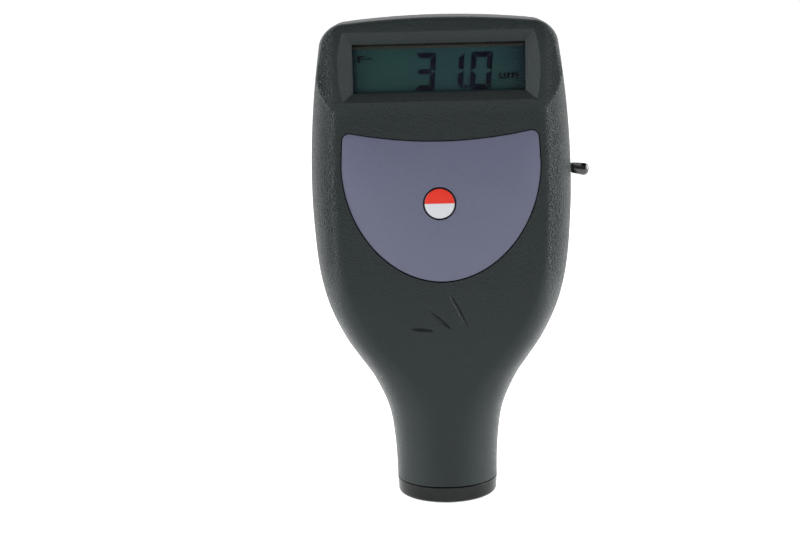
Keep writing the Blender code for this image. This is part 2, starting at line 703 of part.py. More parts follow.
front_shell = body_solid("front_shell", 0, BODY_BOTTOM, material=shell_plastic)
boolean(front_shell, pod, "UNION")
boolean(front_shell, half_space("front_parting_tool", -GAP / 2, BODY_HALF_WIDTH))
boolean(front_shell, body_solid("front_cavity_tool", FRONT_WALL, FLOOR_TOP))
pocket_margin = GLASS_OVERLAP + GAP + HOLDER_WALL + GAP
boolean(front_shell, display_box("display_pocket_tool", pocket_margin, FRONT_INSIDE, BOARD_BACK))
boolean(front_shell, rods_at("front_boss_tool", CASE_PLACES, FRONT_INSIDE - FRONT_WALL / 4, -GAP / 2,
                             CASE_BOSS_RADIUS), "UNION")
boolean(front_shell, rods_at("board_boss_tool", BOARD_PLACES, FRONT_INSIDE - FRONT_WALL / 4,
                             BOARD_FACE - GAP, BOARD_BOSS_RADIUS), "UNION")
front_bulkhead = body_solid("front_bulkhead_tool", FRONT_WALL / 2, BULKHEAD_BOTTOM,
                            BULKHEAD_BOTTOM + BULKHEAD_THICKNESS)
boolean(front_bulkhead, half_space("front_bulkhead_end_tool", -LIP_REACH - GAP, BODY_HALF_WIDTH))
boolean(front_shell, front_bulkhead, "UNION")
boolean(front_shell, rods_at("case_pilot_tool", CASE_PLACES,
                             CASE_HEAD_SEAT - CASE_SHANK_LENGTH - 2 * GAP, EPS,
                             CASE_SHANK_RADIUS + GAP, segments=12))
boolean(front_shell, rods_at("board_pilot_tool", BOARD_PLACES, BOARD_BACK - BOARD_SHANK_LENGTH - GAP,
                             BOARD_FACE, BOARD_SHANK_RADIUS + GAP, segments=12))
boolean(front_shell, probe_bore("front_bore_tool"))
boolean(front_shell, lead_bore("front_lead_tool"))
boolean(front_shell, display_frame_cutter())
boolean(front_shell, display_box("display_opening_tool", 0, FRONT_INSIDE - FRONT_WALL, BOARD_FACE))
boolean(front_shell, plate("label_recess_tool", label_outline(GAP), -BODY_HALF_DEPTH - EPS,
                           -BODY_HALF_DEPTH + LABEL_RECESS))
boolean(front_shell, rod("key_bore_tool", (KEY_X, -BODY_HALF_DEPTH - EPS, KEY_HEIGHT),
                         (KEY_X, FRONT_INSIDE + EPS, KEY_HEIGHT), KEY_RADIUS + KEY_CLEARANCE, segments=32))
boolean(front_shell, mark_cutter())
boolean(front_shell, lug_bore("front_lug_tool"))


# Rear shell

def door_outline(grow=0.0):
    radius = DOOR_CORNER
    x, low, high = DOOR_HALF_WIDTH + grow, DOOR_BOTTOM - grow, DOOR_TOP + grow
    half = [(0, low)] + arc(x - radius, low + radius, radius, -90, 0, 3)
    half += [(x, high), (0, high)]
    return mirrored(half)


rear_shell = body_solid("rear_shell", 0, BODY_BOTTOM, material=shell_plastic)
boolean(rear_shell, half_space("rear_parting_tool", -BODY_HALF_WIDTH, GAP / 2))
boolean(rear_shell, body_solid("rear_cavity_tool", REAR_WALL, FLOOR_TOP))

lip_inset = FRONT_WALL + GAP
lip = body_solid("lip_tool", lip_inset, FLOOR_TOP + GAP)
boolean(lip, body_solid("lip_inside_tool", lip_inset + LIP_THICKNESS, FLOOR_TOP - EPS))
boolean(lip, half_space("lip_front_tool", -BODY_HALF_WIDTH, -LIP_REACH))
boolean(lip, half_space("lip_rear_tool", LIP_ROOT, BODY_HALF_WIDTH))
boolean(rear_shell, lip, "UNION")

rear_bulkhead = body_solid("rear_bulkhead_tool", REAR_WALL / 2, BULKHEAD_BOTTOM,
                           BULKHEAD_BOTTOM + BULKHEAD_THICKNESS)
boolean(rear_bulkhead, half_space("rear_bulkhead_end_tool", -BODY_HALF_WIDTH, GAP / 2))
boolean(rear_shell, rear_bulkhead, "UNION")

seat_x = DOOR_HALF_WIDTH + GAP + SEAT_MARGIN
boolean(rear_shell, box("door_seat_tool", (-seat_x, SEAT_FACE - SEAT_THICKNESS,
                                           DOOR_BOTTOM - GAP - SEAT_MARGIN),
                        (seat_x, BODY_HALF_DEPTH - REAR_WALL / 3, DOOR_TOP + GAP + 2 * SEAT_MARGIN)),
        "UNION")
boolean(rear_shell, box("bay_tool", (-BAY_HALF_WIDTH - BAY_WALL, BAY_FLOOR, BAY_BOTTOM - BAY_WALL),
                        (BAY_HALF_WIDTH + BAY_WALL, SEAT_FACE, BAY_TOP + BAY_WALL)), "UNION")
boolean(rear_shell, plate("door_recess_tool", door_outline(GAP), SEAT_FACE, BODY_HALF_DEPTH + EPS))
boolean(rear_shell, box("bay_inside_tool", (-BAY_HALF_WIDTH, BAY_FLOOR + BAY_WALL, BAY_BOTTOM),
                        (BAY_HALF_WIDTH, BODY_HALF_DEPTH, BAY_TOP)))
boolean(rear_shell, rods_at("rear_boss_tool", CASE_PLACES, GAP / 2, REAR_INSIDE,
                            CASE_HEAD_RADIUS + GAP + CASE_SLEEVE_WALL), "UNION")
boolean(rear_shell, rods_at("case_hole_tool", CASE_PLACES, -EPS, BODY_HALF_DEPTH + EPS,
                            CASE_SHANK_RADIUS + GAP, segments=12))
boolean(rear_shell, rods_at("case_counterbore_tool", CASE_PLACES, CASE_HEAD_SEAT - GAP,
                            BODY_HALF_DEPTH + EPS, CASE_HEAD_RADIUS + GAP))

tab_room = bmesh.new()
for side in (-1, 1):
    swing = DOOR_THICKNESS / 2 + TAB_LENGTH + GAP
    add_box(tab_room, (side * TAB_X - TAB_HALF_WIDTH - GAP, SEAT_FACE - SEAT_THICKNESS - EPS,
                       DOOR_HINGE_Z - swing),
            (side * TAB_X + TAB_HALF_WIDTH + GAP, DOOR_INSIDE + TAB_THICKNESS + GAP, DOOR_HINGE_Z + swing))
boolean(rear_shell, part_from_bmesh("tab_room_tool", tab_room))
latch_low = DOOR_BOTTOM + LATCH_INSET
boolean(rear_shell, box("latch_room_tool",
                        (-LATCH_HALF_WIDTH - GAP, SEAT_FACE - SEAT_THICKNESS - EPS, latch_low - GAP),
                        (LATCH_HALF_WIDTH + GAP, DOOR_INSIDE, latch_low + LATCH_THICKNESS + GAP)))
nail = bmesh.new()
bmesh.ops.create_uvsphere(nail, u_segments=16, v_segments=12, radius=NAIL_RADIUS,
                          matrix=Matrix.Translation((0, BODY_HALF_DEPTH + NAIL_RADIUS - NAIL_DEPTH,
                                                     DOOR_BOTTOM - GAP)))
boolean(rear_shell, part_from_bmesh("nail_notch_tool", nail))
boolean(rear_shell, probe_bore("rear_bore_tool"))
boolean(rear_shell, lead_bore("rear_lead_tool"))
boolean(rear_shell, lug_bore("rear_lug_tool"))


# Battery door, hinged on two tabs at its top edge

def build_battery_door():
    hinge = bpy.data.objects.new("battery_door_hinge", None)
    parts.objects.link(hinge)
    hinge.location = (0, DOOR_HINGE_Y, DOOR_HINGE_Z)
    door = plate("battery_door", door_outline(), DOOR_INSIDE, BODY_HALF_DEPTH, shell_plastic)
    bevel_edges(door, DOOR_THICKNESS * 0.49, lambda co: co.z > DOOR_TOP - GAP, segments=3)
    extras = bmesh.new()
    for side in (-1, 1):
        x = side * TAB_X
        add_box(extras, (x - TAB_HALF_WIDTH, DOOR_INSIDE, DOOR_HINGE_Z - GAP),
                (x + TAB_HALF_WIDTH, DOOR_INSIDE + TAB_THICKNESS, DOOR_TOP + TAB_LENGTH))
    add_box(extras, (-LATCH_HALF_WIDTH, DOOR_INSIDE - LATCH_DEPTH, latch_low),
            (LATCH_HALF_WIDTH, DOOR_INSIDE + DOOR_THICKNESS / 2, latch_low + LATCH_THICKNESS))
    boolean(door, part_from_bmesh("door_tab_tool", extras), "UNION")
    grooves = bmesh.new()
    for i in range(GRIP_GROOVES):
        z = GRIP_BOTTOM + GRIP_PITCH * i
        add_rod(grooves, (-GRIP_HALF_WIDTH, BODY_HALF_DEPTH + GRIP_DEPTH, z),
                (GRIP_HALF_WIDTH, BODY_HALF_DEPTH + GRIP_DEPTH, z), 2 * GRIP_DEPTH, segments=12)
    boolean(door, part_from_bmesh("door_grip_tool", grooves))
    door.data.transform(Matrix.Translation(-hinge.location))
    door.parent = hinge
    for modifier in door.modifiers:
        modifier.object.parent = hinge
        modifier.object.data.transform(Matrix.Translation(-hinge.location))
    return door


build_battery_door()


# Label plate

label_back = LABEL_FACE + LABEL_THICKNESS
label_panel = plate("label_panel", label_outline(), LABEL_FACE, label_back, label_film)
boolean(label_panel, rod("label_hole_tool", (KEY_X, LABEL_FACE - EPS, KEY_HEIGHT),
                         (KEY_X, label_back + EPS, KEY_HEIGHT), KEY_RADIUS + KEY_CLEARANCE, segments=32))


# Display: window, segment glass, holder and contact strip

display_box("display_window", WINDOW_OVERLAP, WINDOW_FRONT, WINDOW_FRONT + WINDOW_THICKNESS, clear_plastic)
display_box("display_glass", GLASS_OVERLAP, GLASS_FRONT, GLASS_FRONT + GLASS_THICKNESS, display_teal)
holder_back = BOARD_FACE - GAP
display_holder = display_box("display_holder", GLASS_OVERLAP + GAP + HOLDER_WALL, GLASS_FRONT, holder_back,
                             holder_plastic)
boolean(display_holder, display_box("glass_room_tool", GLASS_OVERLAP + GAP, GLASS_FRONT - EPS, HOLDER_FLOOR))
strip_z = DISPLAY_MIDDLE - OPENING_HALF_HEIGHT - GLASS_OVERLAP + STRIP_HEIGHT
strip_low = (-STRIP_HALF_WIDTH, GLASS_FRONT + GLASS_THICKNESS + GAP, strip_z - STRIP_HEIGHT / 2)
strip_high = (STRIP_HALF_WIDTH, BOARD_FACE - GAP, strip_z + STRIP_HEIGHT / 2)
box("contact_strip", strip_low, strip_high, strip_rubber)
room = Vector((GAP, EPS, GAP))
boolean(display_holder, box("strip_room_tool", Vector(strip_low) - room, Vector(strip_high) + room))


# Main board with its parts

def board_outline():
    heights = [BOARD_BOTTOM + (BOARD_TOP - BOARD_BOTTOM) * i / 8 for i in range(9)]
    half = [(0, BOARD_BOTTOM)] + [(body_half_width(z) - BOARD_MARGIN, z) for z in heights] + [(0, BOARD_TOP)]
    return mirrored(half)


main_board = plate("main_board", board_outline(), BOARD_FACE, BOARD_BACK, board_green)
boolean(main_board, rods_at("board_hole_tool", BOARD_PLACES, BOARD_FACE - EPS, BOARD_BACK + EPS,
                            BOARD_SHANK_RADIUS + GAP, segments=12))
boolean(main_board, rods_at("board_notch_tool", CASE_PLACES[:2], BOARD_FACE - EPS, BOARD_BACK + EPS,
                            CASE_BOSS_RADIUS + GAP))
screws_at("board_screw", BOARD_PLACES, BOARD_BACK + GAP, BOARD_SHANK_RADIUS, BOARD_SHANK_LENGTH,
          BOARD_HEAD_RADIUS, BOARD_HEAD_HEIGHT, screw_steel)


def on_board(name, place, width, height, depth, material):
    """A moulded package that stands on the board's front face."""
    x, z = place
    low = (x - width / 2, BOARD_FACE - GAP - depth, z - height / 2)
    package = box(name, low, (x + width / 2, BOARD_FACE - GAP, z + height / 2), material)
    bevel_edges(package, depth * 0.12, lambda co: co.y < BOARD_FACE - GAP - depth / 2, 1)
    return package


def pin_rows(name, place, width, height, count):
    """Pins that cross a package from side to side, for one Boolean."""
    x, z = place
    bm = bmesh.new()
    pitch = height / (count + 1)
    for i in range(count):
        middle = z - height / 2 + pitch * (i + 1)
        add_box(bm, (x - width / 2 - PIN_REACH, BOARD_FACE - GAP - PIN_THICKNESS, middle - pitch / 4),
                (x + width / 2 + PIN_REACH, BOARD_FACE - GAP - PIN_THICKNESS / 10, middle + pitch / 4))
    return part_from_bmesh(name, bm)


processor = on_board("processor_chip", CHIP_PLACE, CHIP_SIZE, CHIP_SIZE, CHIP_HEIGHT, chip_black)
boolean(processor, pin_rows("processor_pins", CHIP_PLACE, CHIP_SIZE, CHIP_SIZE, 7), "UNION")
memory = on_board("memory_chip", MEMORY_PLACE, MEMORY_WIDTH, MEMORY_LENGTH, MEMORY_HEIGHT, chip_black)
boolean(memory, pin_rows("memory_pins", MEMORY_PLACE, MEMORY_WIDTH, MEMORY_LENGTH, 4), "UNION")


def build_crystal_can():
    x, z = CRYSTAL_PLACE
    y = BOARD_FACE - GAP - CRYSTAL_RADIUS
    low, high = z - CRYSTAL_LENGTH / 2, z + CRYSTAL_LENGTH / 2
    return rod("crystal_can", (x, y, low), (x, y, high), CRYSTAL_RADIUS, can_steel, 16)


build_crystal_can()
buzzer_x, buzzer_z = BUZZER_PLACE
buzzer = rod("buzzer", (buzzer_x, BOARD_FACE - GAP - BUZZER_HEIGHT, buzzer_z),
             (buzzer_x, BOARD_FACE - GAP, buzzer_z), BUZZER_RADIUS, switch_black, 28)
boolean(buzzer, rod("buzzer_port_tool", (buzzer_x, BOARD_FACE - GAP - BUZZER_HEIGHT - EPS, buzzer_z),
                    (buzzer_x, BOARD_FACE - GAP - BUZZER_HEIGHT / 2, buzzer_z), BUZZER_RADIUS / 4,
                    segments=12))


# Key, its switch and the stem that it presses

label_hidden = FRONT_INSIDE + GAP
switch_front = BOARD_FACE - GAP - SWITCH_DEPTH
stem_front = switch_front - STEM_PROUD
key_profile = [(0, LABEL_FACE - KEY_PROUD), (KEY_RADIUS - GAP, LABEL_FACE - KEY_PROUD),
               (KEY_RADIUS, LABEL_FACE - KEY_PROUD + GAP), (KEY_RADIUS, label_hidden),
               (KEY_FLANGE_RADIUS, label_hidden), (KEY_FLANGE_RADIUS, label_hidden + KEY_FLANGE_THICKNESS),
               (KEY_POST_RADIUS, label_hidden + KEY_FLANGE_THICKNESS),
               (KEY_POST_RADIUS, stem_front - GAP), (0, stem_front - GAP)]
key_cap = turned("key_cap", [(radius, -y) for radius, y in key_profile], key_red, 28)
key_cap.location = (KEY_X, 0, KEY_HEIGHT)
key_cap.rotation_euler = (math.pi / 2, 0, 0)

half = SWITCH_SIZE / 2
switch_body = box("switch_body", (KEY_X - half, switch_front, KEY_HEIGHT - half),
                  (KEY_X + half, BOARD_FACE - GAP, KEY_HEIGHT + half), switch_black)
stem_end = switch_front + STEM_INSIDE
boolean(switch_body, rod("stem_room_tool", (KEY_X, switch_front - EPS, KEY_HEIGHT),
                         (KEY_X, stem_end + KEY_TRAVEL + GAP, KEY_HEIGHT), STEM_RADIUS + GAP, segments=20))
rod("switch_stem", (KEY_X, stem_front, KEY_HEIGHT), (KEY_X, stem_end, KEY_HEIGHT), STEM_RADIUS,
    cap_plastic, 20)


# Two cells, their springs and plates. The right cell stands on its head

cell_low = BAY_BOTTOM + GAP + PLATE_THICKNESS + GAP
cell_high = BAY_TOP - GAP - PLATE_THICKNESS - GAP


def cell(name, x, upright):
    """A round cell with a contact nipple on its positive end."""
    base = cell_high - CELL_LENGTH if upright else cell_low + CELL_LENGTH
    way = 1 if upright else -1
    shoulder, edge = CELL_LENGTH - CELL_NIPPLE, 0.0004
    profile = [(0, CELL_LENGTH), (CELL_NIPPLE_RADIUS, CELL_LENGTH), (CELL_NIPPLE_RADIUS, shoulder),
               (CELL_RADIUS - edge, shoulder), (CELL_RADIUS, shoulder - edge), (CELL_RADIUS, edge),
               (CELL_RADIUS - edge, 0), (0, 0)]
    made = turned(name, profile, cell_jacket, 20)
    made.location = (x, CELL_Y, base)
    if way < 0:
        made.rotation_euler = (math.pi, 0, 0)
    return made


cell("battery_cell_left", -CELL_X, True)
cell("battery_cell_right", CELL_X, False)


def add_helix(curve, x, y, low, high, radius, wire, turns, per_turn, end_radius=None):
    """A coil about a vertical line, its wire just inside the two heights."""
    last = radius if end_radius is None else end_radius
    count = turns * per_turn
    spline = curve.splines.new("POLY")
    spline.points.add(count)
    for i, point in enumerate(spline.points):
        share = i / count
        turn = 2 * math.pi * i / per_turn
        away = radius + (last - radius) * share
        point.co = (x + away * math.cos(turn), y + away * math.sin(turn),
                    low + wire + (high - low - 2 * wire) * share, 1)


def wire_curve(name, wire, material):
    curve = bpy.data.curves.new(name, "CURVE")
    curve.dimensions = "3D"
    curve.bevel_depth = wire
    curve.bevel_resolution = 2
    curve.use_fill_caps = True
    curve.materials.append(material)
    parts.objects.link(bpy.data.objects.new(name, curve))
    return curve


left_spring = wire_curve("battery_spring_left", CELL_WIRE_RADIUS, spring_steel)
add_helix(left_spring, -CELL_X, CELL_Y, cell_low + GAP, cell_high - CELL_LENGTH - GAP,
          CELL_SPRING_RADIUS, CELL_WIRE_RADIUS, CELL_SPRING_TURNS, 8, CELL_SPRING_RADIUS * 0.7)
right_spring = wire_curve("battery_spring_right", CELL_WIRE_RADIUS, spring_steel)
add_helix(right_spring, CELL_X, CELL_Y, cell_low + CELL_LENGTH + GAP, cell_high - GAP,
          CELL_SPRING_RADIUS * 0.7, CELL_WIRE_RADIUS, CELL_SPRING_TURNS, 8, CELL_SPRING_RADIUS)

for side, x in (("left", -CELL_X), ("right", CELL_X)):
    for end, low in (("low", BAY_BOTTOM + GAP), ("high", BAY_TOP - GAP - PLATE_THICKNESS)):
        box(f"battery_plate_{side}_{end}", (x - PLATE_HALF_SIZE, CELL_Y - PLATE_HALF_SIZE, low),
            (x + PLATE_HALF_SIZE, CELL_Y + PLATE_HALF_SIZE, low + PLATE_THICKNESS), spring_steel)


# Nose collar, guide, sprung sleeve with coil and tip

flange_low = FLOOR_TOP + GAP
flange_high = flange_low + COLLAR_FLANGE
guide_radius = SLEEVE_RADIUS + GAP + GUIDE_WALL
collar_bore = guide_radius + GAP
turned("probe_collar",
       [(COLLAR_RADIUS, COLLAR_HEIGHT), (COLLAR_RADIUS - COLLAR_TAPER, COLLAR_CHAMFER),
        (COLLAR_RADIUS - COLLAR_TAPER - COLLAR_CHAMFER * 0.3, COLLAR_CHAMFER * 0.3),
        (COLLAR_RADIUS - COLLAR_TAPER - COLLAR_CHAMFER, 0), (collar_bore, 0),
        (collar_bore, flange_high), (COLLAR_FLANGE_RADIUS, flange_high),
        (COLLAR_FLANGE_RADIUS, flange_low), (SPIGOT_RADIUS, flange_low), (SPIGOT_RADIUS, COLLAR_HEIGHT)],
       collar_gloss, 44)

guide_flange = flange_high + GAP
guide_top = RING_HEIGHT - PROBE_TRAVEL - GAP
turned("probe_guide",
       [(guide_radius, guide_top), (guide_radius, guide_flange + GUIDE_FLANGE),
        (GUIDE_FLANGE_RADIUS, guide_flange + GUIDE_FLANGE), (GUIDE_FLANGE_RADIUS, guide_flange),
        (guide_radius, guide_flange), (guide_radius, GUIDE_BOTTOM),
        (SLEEVE_RADIUS + GAP, GUIDE_BOTTOM), (SLEEVE_RADIUS + GAP, guide_top)],
       guide_brass, 20)

sleeve_inside = SLEEVE_RADIUS - SLEEVE_WALL
groove_radius = SLEEVE_RADIUS - GROOVE_DEPTH
turned("probe_sleeve",
       [(SLEEVE_RADIUS, SLEEVE_TOP), (SLEEVE_RADIUS, RING_HEIGHT + RING_THICKNESS + GAP),
        (groove_radius, RING_HEIGHT + RING_THICKNESS + GAP), (groove_radius, RING_HEIGHT - GAP),
        (SLEEVE_RADIUS, RING_HEIGHT - GAP), (SLEEVE_RADIUS, SLEEVE_BOTTOM + GAP),
        (SLEEVE_RADIUS - GAP, SLEEVE_BOTTOM), (sleeve_inside, SLEEVE_BOTTOM), (sleeve_inside, SLEEVE_TOP)],
       sleeve_steel, 20)

ring_inside = groove_radius + GAP
retaining_ring = turned("retaining_ring",
                        [(ring_inside + RING_WIDTH, RING_HEIGHT + RING_THICKNESS),
                         (ring_inside + RING_WIDTH, RING_HEIGHT), (ring_inside, RING_HEIGHT),
                         (ring_inside, RING_HEIGHT + RING_THICKNESS)], spring_steel, 20)
boolean(retaining_ring, box("ring_mouth_tool", (0, -ring_inside / 2, RING_HEIGHT - EPS),
                            (2 * ring_inside + RING_WIDTH, ring_inside / 2, RING_HEIGHT + EPS)))

tip_radius = sleeve_inside - GAP
dome = [(TIP_LAND_RADIUS + (tip_radius - TIP_LAND_RADIUS) * math.sin(a), TIP_DOME * (1 - math.cos(a)))
        for a in (math.radians(d) for d in (90, 72, 54, 36, 18, 0))]
turned("probe_tip", [(0, TIP_LENGTH), (tip_radius, TIP_LENGTH), *dome, (0, 0)], tip_metal, 16)

coil_low = TIP_LENGTH + GAP
coil_high = coil_low + COIL_LENGTH
winding = tip_radius - COIL_SINK
turned("probe_coil",
       [(0, coil_high), (tip_radius, coil_high), (tip_radius, coil_high - COIL_CHEEK),
        (winding, coil_high - COIL_CHEEK), (winding, coil_low + COIL_CHEEK),
        (tip_radius, coil_low + COIL_CHEEK), (tip_radius, coil_low), (0, coil_low)],
       coil_copper, 16)

probe_spring = wire_curve("probe_spring", SPRING_WIRE_RADIUS, spring_steel)
add_helix(probe_spring, 0, 0, SPRING_BOTTOM, SPRING_TOP, SPRING_RADIUS, SPRING_WIRE_RADIUS, SPRING_TURNS, 10)

turned("spring_cap",
       [(CAP_RADIUS, CAP_BOTTOM + CAP_THICKNESS), (CAP_RADIUS, CAP_BOTTOM - CAP_RIM),
        (CAP_RADIUS - CAP_RIM, CAP_BOTTOM - CAP_RIM), (CAP_RADIUS - CAP_RIM, CAP_BOTTOM),
        (LEAD_HOLE_RADIUS, CAP_BOTTOM), (LEAD_HOLE_RADIUS, CAP_BOTTOM + CAP_THICKNESS)],
       cap_plastic, 20)


# Strap eye, clamped between the shells on the right side

def build_lanyard_lug():
    inside = BODY_HALF_WIDTH - REAR_WALL - LIP_THICKNESS - 2 * GAP
    neck_end = BODY_HALF_WIDTH + LUG_NECK_SHOWN
    tip = neck_end + LUG_BARREL_LENGTH
    rounding = [(LUG_BARREL_RADIUS * math.cos(a), tip - LUG_BARREL_RADIUS * (1 - math.sin(a)))
                for a in (math.radians(d) for d in (90, 67, 45, 22, 0))]
    profile = [*rounding[:-1], (LUG_BARREL_RADIUS, rounding[-1][1]), (LUG_BARREL_RADIUS, neck_end + 0.0004),
               (LUG_NECK_RADIUS, neck_end), (LUG_NECK_RADIUS, inside), (LUG_FLANGE_RADIUS, inside),
               (LUG_FLANGE_RADIUS, inside - LUG_FLANGE_THICKNESS), (0, inside - LUG_FLANGE_THICKNESS)]
    profile[0] = (0, tip)
    lug = turned("lanyard_lug", profile, lug_black, 14)
    lug.location = (0, 0, LUG_HEIGHT)
    lug.rotation_euler = (0, math.pi / 2, 0)
    eye_x = tip - LUG_BARREL_RADIUS
    reach = LUG_BARREL_RADIUS + EPS
    boolean(lug, rod("lug_eye_tool", (eye_x, 0, LUG_HEIGHT - reach), (eye_x, 0, LUG_HEIGHT + reach),
                     LUG_EYE_RADIUS, segments=12))
    return lug


build_lanyard_lug()
screws_at("case_screw", CASE_PLACES, CASE_HEAD_SEAT, CASE_SHANK_RADIUS, CASE_SHANK_LENGTH,
          CASE_HEAD_RADIUS, CASE_HEAD_HEIGHT, screw_steel)
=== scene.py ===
import math

import bpy
from mathutils import Matrix, Vector


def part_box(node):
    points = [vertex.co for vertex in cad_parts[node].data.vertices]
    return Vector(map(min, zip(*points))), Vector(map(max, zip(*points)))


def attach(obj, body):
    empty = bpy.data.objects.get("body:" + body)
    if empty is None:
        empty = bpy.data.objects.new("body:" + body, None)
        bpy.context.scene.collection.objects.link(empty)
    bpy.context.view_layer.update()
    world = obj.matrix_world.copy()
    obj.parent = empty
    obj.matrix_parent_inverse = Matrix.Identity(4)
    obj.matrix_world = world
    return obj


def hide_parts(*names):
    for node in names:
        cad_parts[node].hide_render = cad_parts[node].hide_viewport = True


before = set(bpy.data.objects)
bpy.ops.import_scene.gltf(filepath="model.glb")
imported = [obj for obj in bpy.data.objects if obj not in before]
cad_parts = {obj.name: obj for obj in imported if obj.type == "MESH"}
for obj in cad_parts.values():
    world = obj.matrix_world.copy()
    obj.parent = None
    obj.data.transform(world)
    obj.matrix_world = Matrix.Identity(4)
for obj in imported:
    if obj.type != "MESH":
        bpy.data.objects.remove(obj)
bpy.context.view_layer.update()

# Camera
# The eye is a little above the gauge and straight in front of it, with a long lens. It is turned a
# touch to the left and tipped over sideways, as the picture was taken by hand.
picture_width, lens_px, sensor_width = 800, 1779.9, 36
pitch, pan, roll = math.radians(10.78), math.radians(-1.416), math.radians(1.491)
eye = (0, -0.44605, 0.14179)
camera_data = bpy.data.cameras.new("camera")
camera_data.sensor_width = sensor_width
camera_data.lens = sensor_width * lens_px / picture_width
camera_data.clip_start, camera_data.clip_end = 0.02, 30
camera = bpy.data.objects.new("camera", camera_data)
bpy.context.scene.collection.objects.link(camera)
forward = Vector((math.sin(pan) * math.cos(pitch), math.cos(pan) * math.cos(pitch), -math.sin(pitch)))
level = Vector((math.cos(pan), -math.sin(pan), 0))
upward = level.cross(forward)
across = level * math.cos(roll) - upward * math.sin(roll)
upright = level * math.sin(roll) + upward * math.cos(roll)
camera.matrix_world = Matrix.Translation(eye) @ Matrix((across, upright, -forward)).transposed().to_4x4()
bpy.context.scene.camera = camera
bpy.context.scene.view_settings.view_transform = "Standard"


# Floor and studio light
# A white sheet lies under the gauge and runs back without an edge. Two wide soft boxes stand beside
# the gauge, two narrower ones nearer the eye, one hangs above, and the room in front stays dim.
floor_size, floor_lift = 12, 0.42
sky_dim, sky_bright, sky_front, sky_back = 0.085, 1.0, -0.9, 0.3


def start_finish(name, colour, roughness, metallic=0.0, **settings):
    """A material with its plain values on the shader itself. Patterns are added to its tree."""
    finish = bpy.data.materials.new(name)
    finish.use_nodes = True
    shader = finish.node_tree.nodes["Principled BSDF"]
    shader.inputs["Base Color"].default_value = (*colour, 1)
    shader.inputs["Roughness"].default_value = roughness
    shader.inputs["Metallic"].default_value = metallic
    for setting, value in settings.items():
        shader.inputs[setting.replace("_", " ")].default_value = value
    return finish


def add_node(finish, kind, values=(), **settings):
    """A node of a material or world. Its inputs are linked to the sockets or set to the values given."""
    made = finish.node_tree.nodes.new(kind)
    for setting, value in settings.items():
        setattr(made, setting, value)
    for socket, value in dict(values).items():
        if isinstance(value, bpy.types.NodeSocket):
            finish.node_tree.links.new(value, made.inputs[socket])
        else:
            made.inputs[socket].default_value = value
    return made


def join_shader(finish, **sockets):
    shader = finish.node_tree.nodes["Principled BSDF"]
    for name, socket in sockets.items():
        finish.node_tree.links.new(socket, shader.inputs[name.replace("_", " ")])


def spread(finish, value, low, high, start=0.3, end=0.7):
    """A value stretched from start-end to low-high."""
    ranged = add_node(finish, "ShaderNodeMapRange",
                      {"Value": value, "From Min": start, "From Max": end, "To Min": low, "To Max": high})
    return ranged.outputs["Result"]


def work_out(finish, operation, *values):
    """One step of arithmetic on values or sockets."""
    return add_node(finish, "ShaderNodeMath", dict(enumerate(values)), operation=operation).outputs[0]


def split(finish, place):
    """A place's X, Y and Z."""
    return add_node(finish, "ShaderNodeSeparateXYZ", {0: place}).outputs


bpy.ops.object.select_all(action="DESELECT")
bpy.ops.mesh.primitive_plane_add(size=floor_size, location=(0, 0, 0))
floor = bpy.context.object
floor.name = "floor"
floor_sheet = start_finish("floor_sheet", (0.80, 0.80, 0.80), 0.6, Specular_IOR_Level=0.1,
                           Emission_Color=(1, 1, 1, 1))
rays = add_node(floor_sheet, "ShaderNodeLightPath").outputs
sheet_mirrored = work_out(floor_sheet, "MAXIMUM", rays["Is Camera Ray"], rays["Is Glossy Ray"])
sheet_seen = work_out(floor_sheet, "MAXIMUM", sheet_mirrored, rays["Is Transmission Ray"])
join_shader(floor_sheet, Emission_Strength=work_out(floor_sheet, "MULTIPLY", sheet_seen, floor_lift))
floor.data.materials.append(floor_sheet)

world = bpy.data.worlds.new("studio")
bpy.context.scene.world = world
world.use_nodes = True
sky = world.node_tree.nodes["Background"]
sky.inputs["Color"].default_value = (1, 1, 1, 1)
sky_way = add_node(world, "ShaderNodeTexCoord").outputs["Generated"]
sky_strength = spread(world, split(world, sky_way)["Y"], sky_dim, sky_bright, sky_front, sky_back)
world.node_tree.links.new(sky_strength, sky.inputs["Strength"])


def soft_box(name, place, aim, width, height, power):
    """An even rectangular lamp that faces a point."""
    lamp = bpy.data.lights.new(name, "AREA")
    lamp.shape = "RECTANGLE"
    lamp.size, lamp.size_y = width, height
    lamp.energy = power
    stand = bpy.data.objects.new(name, lamp)
    stand.location = place
    stand.rotation_euler = (Vector(aim) - Vector(place)).to_track_quat("-Z", "Y").to_euler()
    bpy.context.scene.collection.objects.link(stand)


soft_box("soft_box_right", (0.75, 0.10, 0.30), (0, 0, 0.07), 0.26, 0.8, 12.0)
soft_box("soft_box_left", (-0.80, 0.00, 0.44), (0, 0, 0.10), 0.20, 0.6, 9.5)
soft_box("strip_box_right", (0.75, -0.43, 0.25), (0, 0, 0.06), 0.13, 0.7, 3.4)
soft_box("strip_box_left", (-0.74, -0.46, 0.27), (0, 0, 0.08), 0.16, 0.7, 3.8)
soft_box("soft_box_top", (0, -0.10, 1.0), (0, 0, 0.06), 0.9, 0.6, 1.6)


